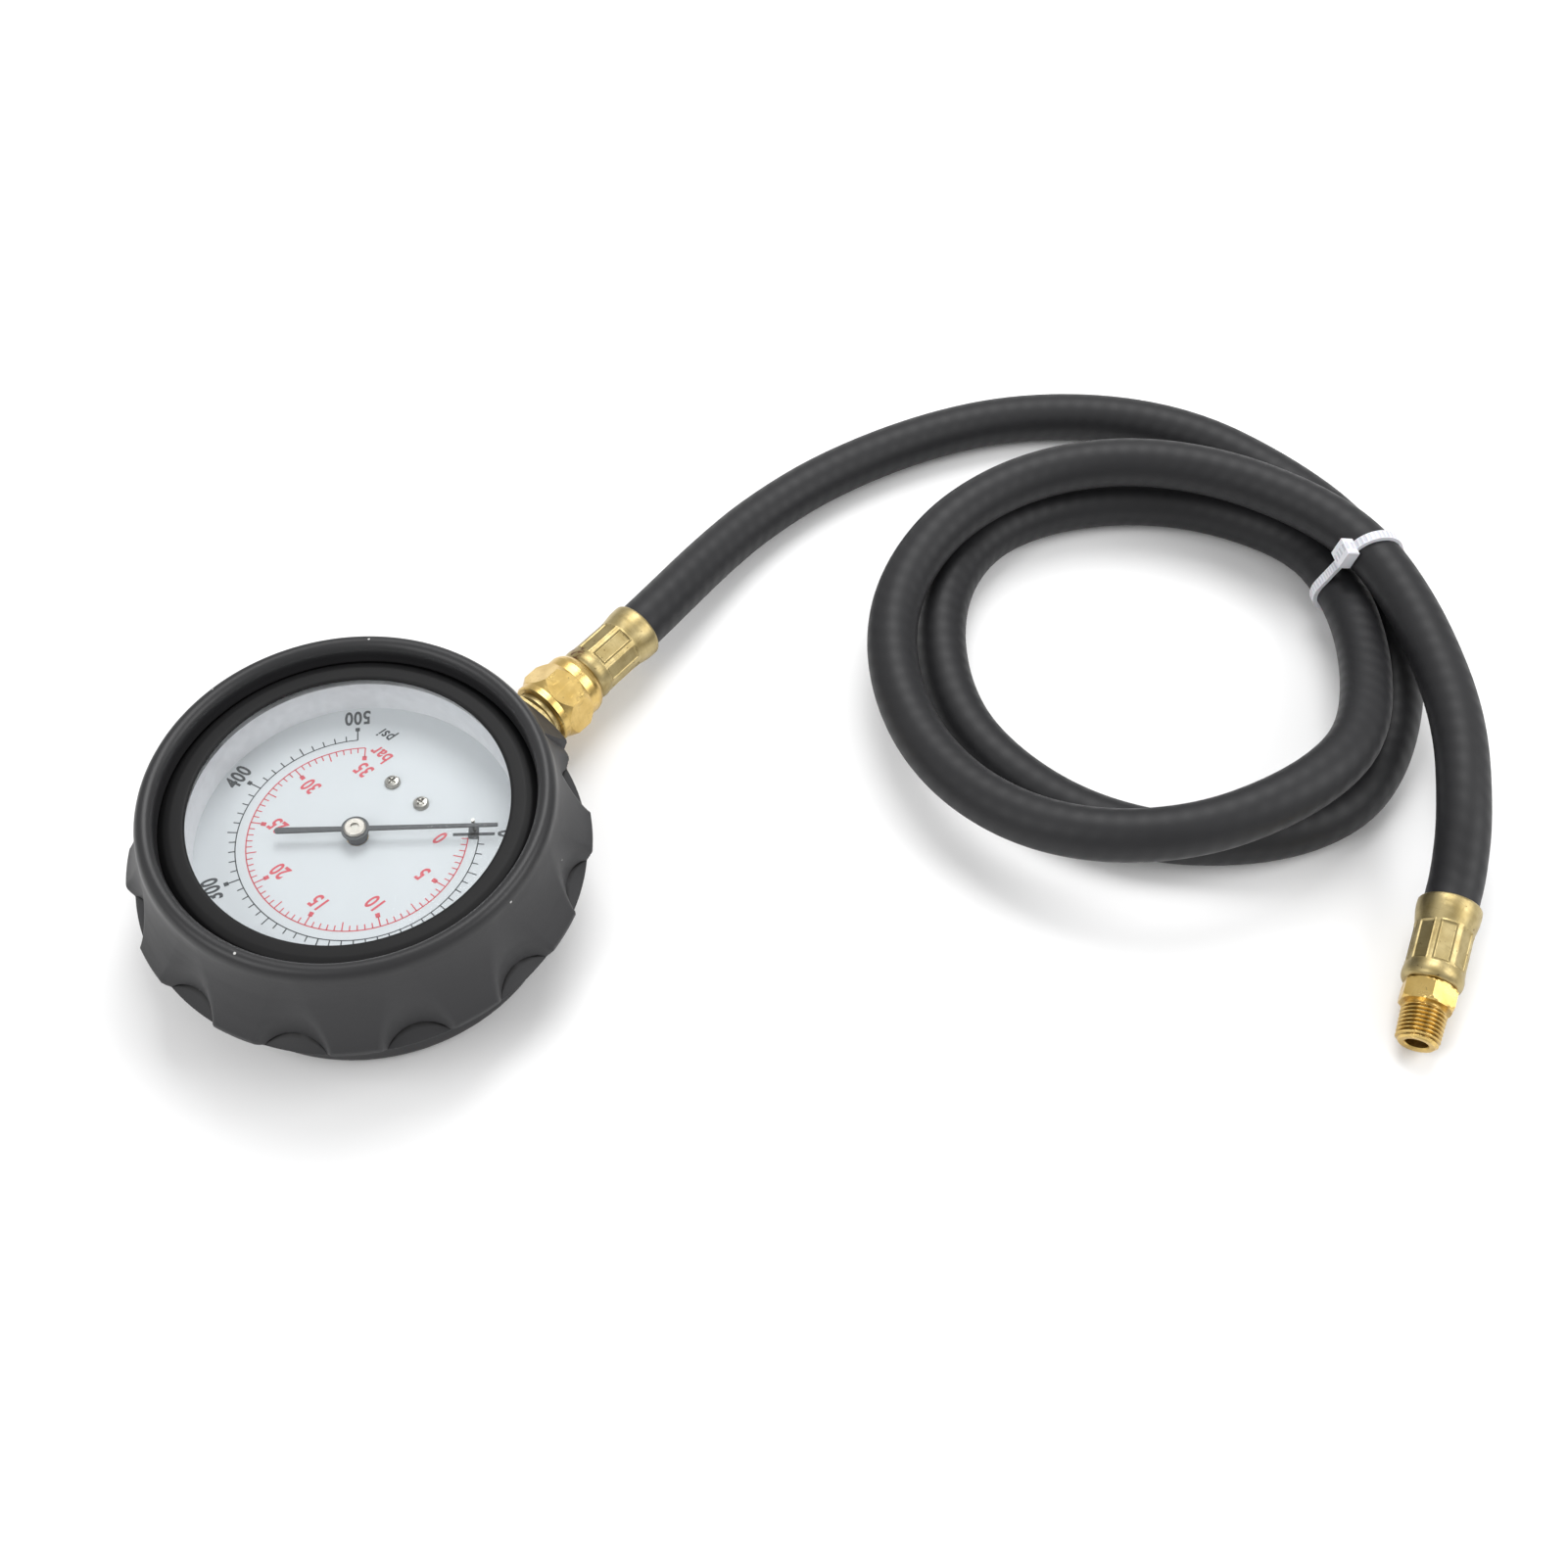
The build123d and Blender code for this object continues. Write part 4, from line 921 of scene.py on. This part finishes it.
def crimped_ferrule(name, place, flip, phase, node):
    """Ferrule whose radius depends on turn and length.

    The turned profile has a bead, a waist and a bell. Along the waist eight jaws have pressed
    panels: the radius there is the flat's distance over the cosine of the turn from its middle,
    softly blended with the profile, and a thin raised line of a Gaussian section frames each panel.
    The flipped ferrule has its bell at the near end of its frame.
    """
    columns, jaws = 384, 8
    panel_foot, panel_top, half_turn, flat_r, ridge = 4.0, 13.5, 0.28, 6.02, 0.1
    turn = np.linspace(0, 2 * pi, columns, endpoint=False)
    along = np.concatenate([
        [0.0, 0.15, 0.4, 0.8], np.linspace(1.2, 3.6, 9), np.linspace(3.75, 5.0, 10),
        np.linspace(5.4, 12.4, 12), np.linspace(12.6, 14.0, 11), np.linspace(14.4, 19.5, 18),
        [FERRULE_LENGTH],
    ])[:, None]
    profile = np.array([
        (0.0, 5.7), (0.15, 6.05), (0.4, 6.35), (0.8, 6.55), (1.4, 6.7), (2.2, 6.72), (3.0, 6.62),
        (3.8, 6.46), (4.6, 6.4), (12.8, 6.38), (13.8, 6.45), (15.2, 6.74), (16.8, 7.0),
        (18.4, 7.1), (19.5, 7.04), (19.8, 6.85),
    ])
    base = np.interp(along, *profile.T)
    pitch = 2 * pi / jaws
    phi = np.abs((turn - radians(phase) + pitch / 2) % pitch - pitch / 2)[None, :]
    flat = flat_r / np.cos(phi)
    jaw = np.clip((along - panel_foot) / 0.45, 0, 1) * np.clip((panel_top - along) / 0.45, 0, 1)
    jaw = jaw * np.clip((half_turn - phi) / 0.03, 0, 1)
    jaw = jaw * jaw * (3 - 2 * jaw)
    pressed = soft_least(base, flat + 0 * along, 0.12)
    low, high = panel_foot - 0.25, panel_top + 0.25
    within = np.clip((along - low) / 0.2, 0, 1) * np.clip((high - along) / 0.2, 0, 1)
    sides = np.exp(-((phi - half_turn) / 0.02) ** 2) * within
    lines = [np.exp(-((along - end) / 0.14) ** 2) for end in (panel_foot, panel_top)]
    ends = (lines[0] + lines[1]) * (phi < half_turn)
    r = base + (pressed - base) * jaw + ridge * np.maximum(sides, ends)
    outer = np.stack([r * np.cos(turn), r * np.sin(turn), along + 0 * r], axis=-1)
    inside = [
        (6.2, 19.75), (6.03, 19.2), (5.75, 17.5), (5.62, 15.0), (5.6, 1.0), (4.2, 1.0), (4.2, 0.0),
    ]
    points = np.concatenate([outer, around(np.array(inside), columns)])
    if flip:
        points = points * (1, -1, -1) + (0, 0, FERRULE_LENGTH)
    mesh = tidied(grid_mesh(name, placed(points, place), ring=True))
    return piece(name, mesh, "gauge", "brass_dull", [node], 40.0)


def end_adapter():
    """Hexagon, taper thread and bore in one skin, as a radius for each turn and length.

    The hexagon's radius is half its width over the cosine of the turn from a flat's middle, cut by
    a cone at each end. The thread is a triangle wave of length and turn, so that its crests wind
    round, on a taper of one in sixteen, half of it on the radius. The UV map's first number is
    the depth in the groove, which the brass paints as shade.
    """
    columns = 144
    half_width, hexagon_end, thread_end = 5.55, 5.0, 13.8
    pitch, depth, crest_r, crest_z = 0.941, 0.62, 5.02, 5.6
    turn = np.linspace(0, 2 * pi, columns, endpoint=False)
    phi = (turn + pi / 6) % (pi / 3) - pi / 6
    z_hex = np.linspace(0.0, hexagon_end, 16)[:, None]
    cone = 5.62 + np.minimum(z_hex, hexagon_end - z_hex) * 1.5
    r_hex = np.minimum(half_width / np.cos(phi), cone)
    z_thread = np.linspace(hexagon_end, thread_end, 132)[:, None]
    wave = np.abs(((z_thread / pitch - turn / (2 * pi)) % 1.0) * 2 - 1)
    wave = np.clip(wave * 1.25 - 0.12, 0, 1)
    fade = np.clip((z_thread - crest_z) / 0.5, 0, 1) * np.clip((13.75 - z_thread) / 0.9, 0, 1)
    root = crest_r - (z_thread - crest_z) / 32.0 - depth
    chamfer = np.clip((z_thread - 13.2) / 0.6, 0, 1) * 0.25
    r = np.concatenate([r_hex, root + depth * wave * fade - chamfer])
    z = np.concatenate([z_hex, z_thread]) + 0 * r
    # depth in the groove, put in the UV map for the brass's painted shade in the thread
    groove = np.concatenate([0 * r_hex, (1 - wave) * fade])
    skin = np.stack([r * np.cos(turn), r * np.sin(turn), z], axis=-1)
    bore = [(3.4, thread_end), (2.75, 13.75), (2.5, 13.4), (2.5, 4.0), (0.0, 4.0)]
    back = around(np.array([(0.0, -1.0), (4.1, -1.0), (4.1, 0.0)]), columns)
    points = np.concatenate([back, skin, around(np.array(bore), columns)])
    points[..., 2] += FERRULE_LENGTH + 0.1
    uv = np.zeros((len(points), columns + 1, 2))
    uv[len(back) : len(back) + len(r), :-1, 0] = groove
    uv[:, -1] = uv[:, 0]
    mesh = tidied(grid_mesh("adapter_skin", placed(points, FAR_FRAME), uv=uv))
    return piece(
        "adapter_skin", mesh, "gauge", "brass_bright", ["end_adapter"], 30.0
    )


NEAR_FRAME = frame_of((0.0, HOSE_START_Y + 1.0, STEM_Z), (0.0, -1.0, 0.0))
near = crimped_ferrule("gauge_ferrule_skin", NEAR_FRAME, False, 22.5, "gauge_ferrule")
far = crimped_ferrule("far_ferrule_skin", FAR_FRAME, True, 0.0, "far_ferrule")
adapter = end_adapter()

hose_length * MM
(line * MM).tolist()


# Finishes of the solids that stay

for row in frame["record"]["subparts"]:
    shown = frame["nodes"][row["node"]]
    for place in shown.material_slots:
        place.material = FINISH[row["material_slot"]]


# Floor, light and camera

def stage():
    """One square of floor, a hair below the hose."""
    mesh = bpy.data.meshes.new("floor")
    reach, drop = 3.0, 0.0004
    corners = [(-reach, -reach), (reach, -reach), (reach, reach), (-reach, reach)]
    mesh.from_pydata([(x, y, -drop) for x, y in corners], [], [(0, 1, 2, 3)])
    mesh.materials.append(floor_white())
    linked("floor", mesh)


def stand(made, axes, origin):
    """Places a lamp or the camera; the columns of axes are right, up and backwards."""
    matrix = np.eye(4)
    matrix[:3, :3] = axes
    matrix[:3, 3] = origin
    made.matrix_world = Matrix(matrix.tolist())


def lamp(name, place, aim, size, power):
    """Round soft lamp at a place, looking at another."""
    light = bpy.data.lights.new(name, "AREA")
    light.shape = "DISK"
    light.size = size
    light.energy = power
    origin, axes = frame_of(place, np.array(place, float) - np.array(aim, float))
    stand(linked(name, light), axes, origin)


def camera():
    """Looks from the photograph's place."""
    forward = np.array([0.3698, -0.4479, -0.8140])
    right = np.array([-0.7711, -0.6367, 0.0])
    data = bpy.data.cameras.new("camera")
    data.lens = 47.68
    data.sensor_width = 36.0
    data.clip_start = 0.01
    made = linked("camera", data)
    axes = np.stack([right, np.cross(right, forward), -forward], axis=1)
    stand(made, axes, (-0.23258, 0.13603, 0.3993))
    bpy.context.scene.camera = made


def studio():
    """Even white light from all round."""
    world = bpy.data.worlds.new("studio")
    world.use_nodes = True
    background = world.node_tree.nodes["Background"].inputs
    background["Color"].default_value = (1.0, 1.0, 1.0, 1.0)
    background["Strength"].default_value = 0.66
    bpy.context.scene.world = world


stage()
camera()
lamp("main", (0.25, -0.55, 0.9), (-0.08, -0.1, 0.0), 0.7, 6.6)
lamp("side", (-0.7, -0.5, 0.6), (-0.08, -0.1, 0.0), 0.6, 3.6)
lamp("back", (0.2, 0.6, 0.7), (-0.05, -0.1, 0.0), 0.6, 3.0)
studio()
bpy.context.scene.view_settings.view_transform = "Standard"
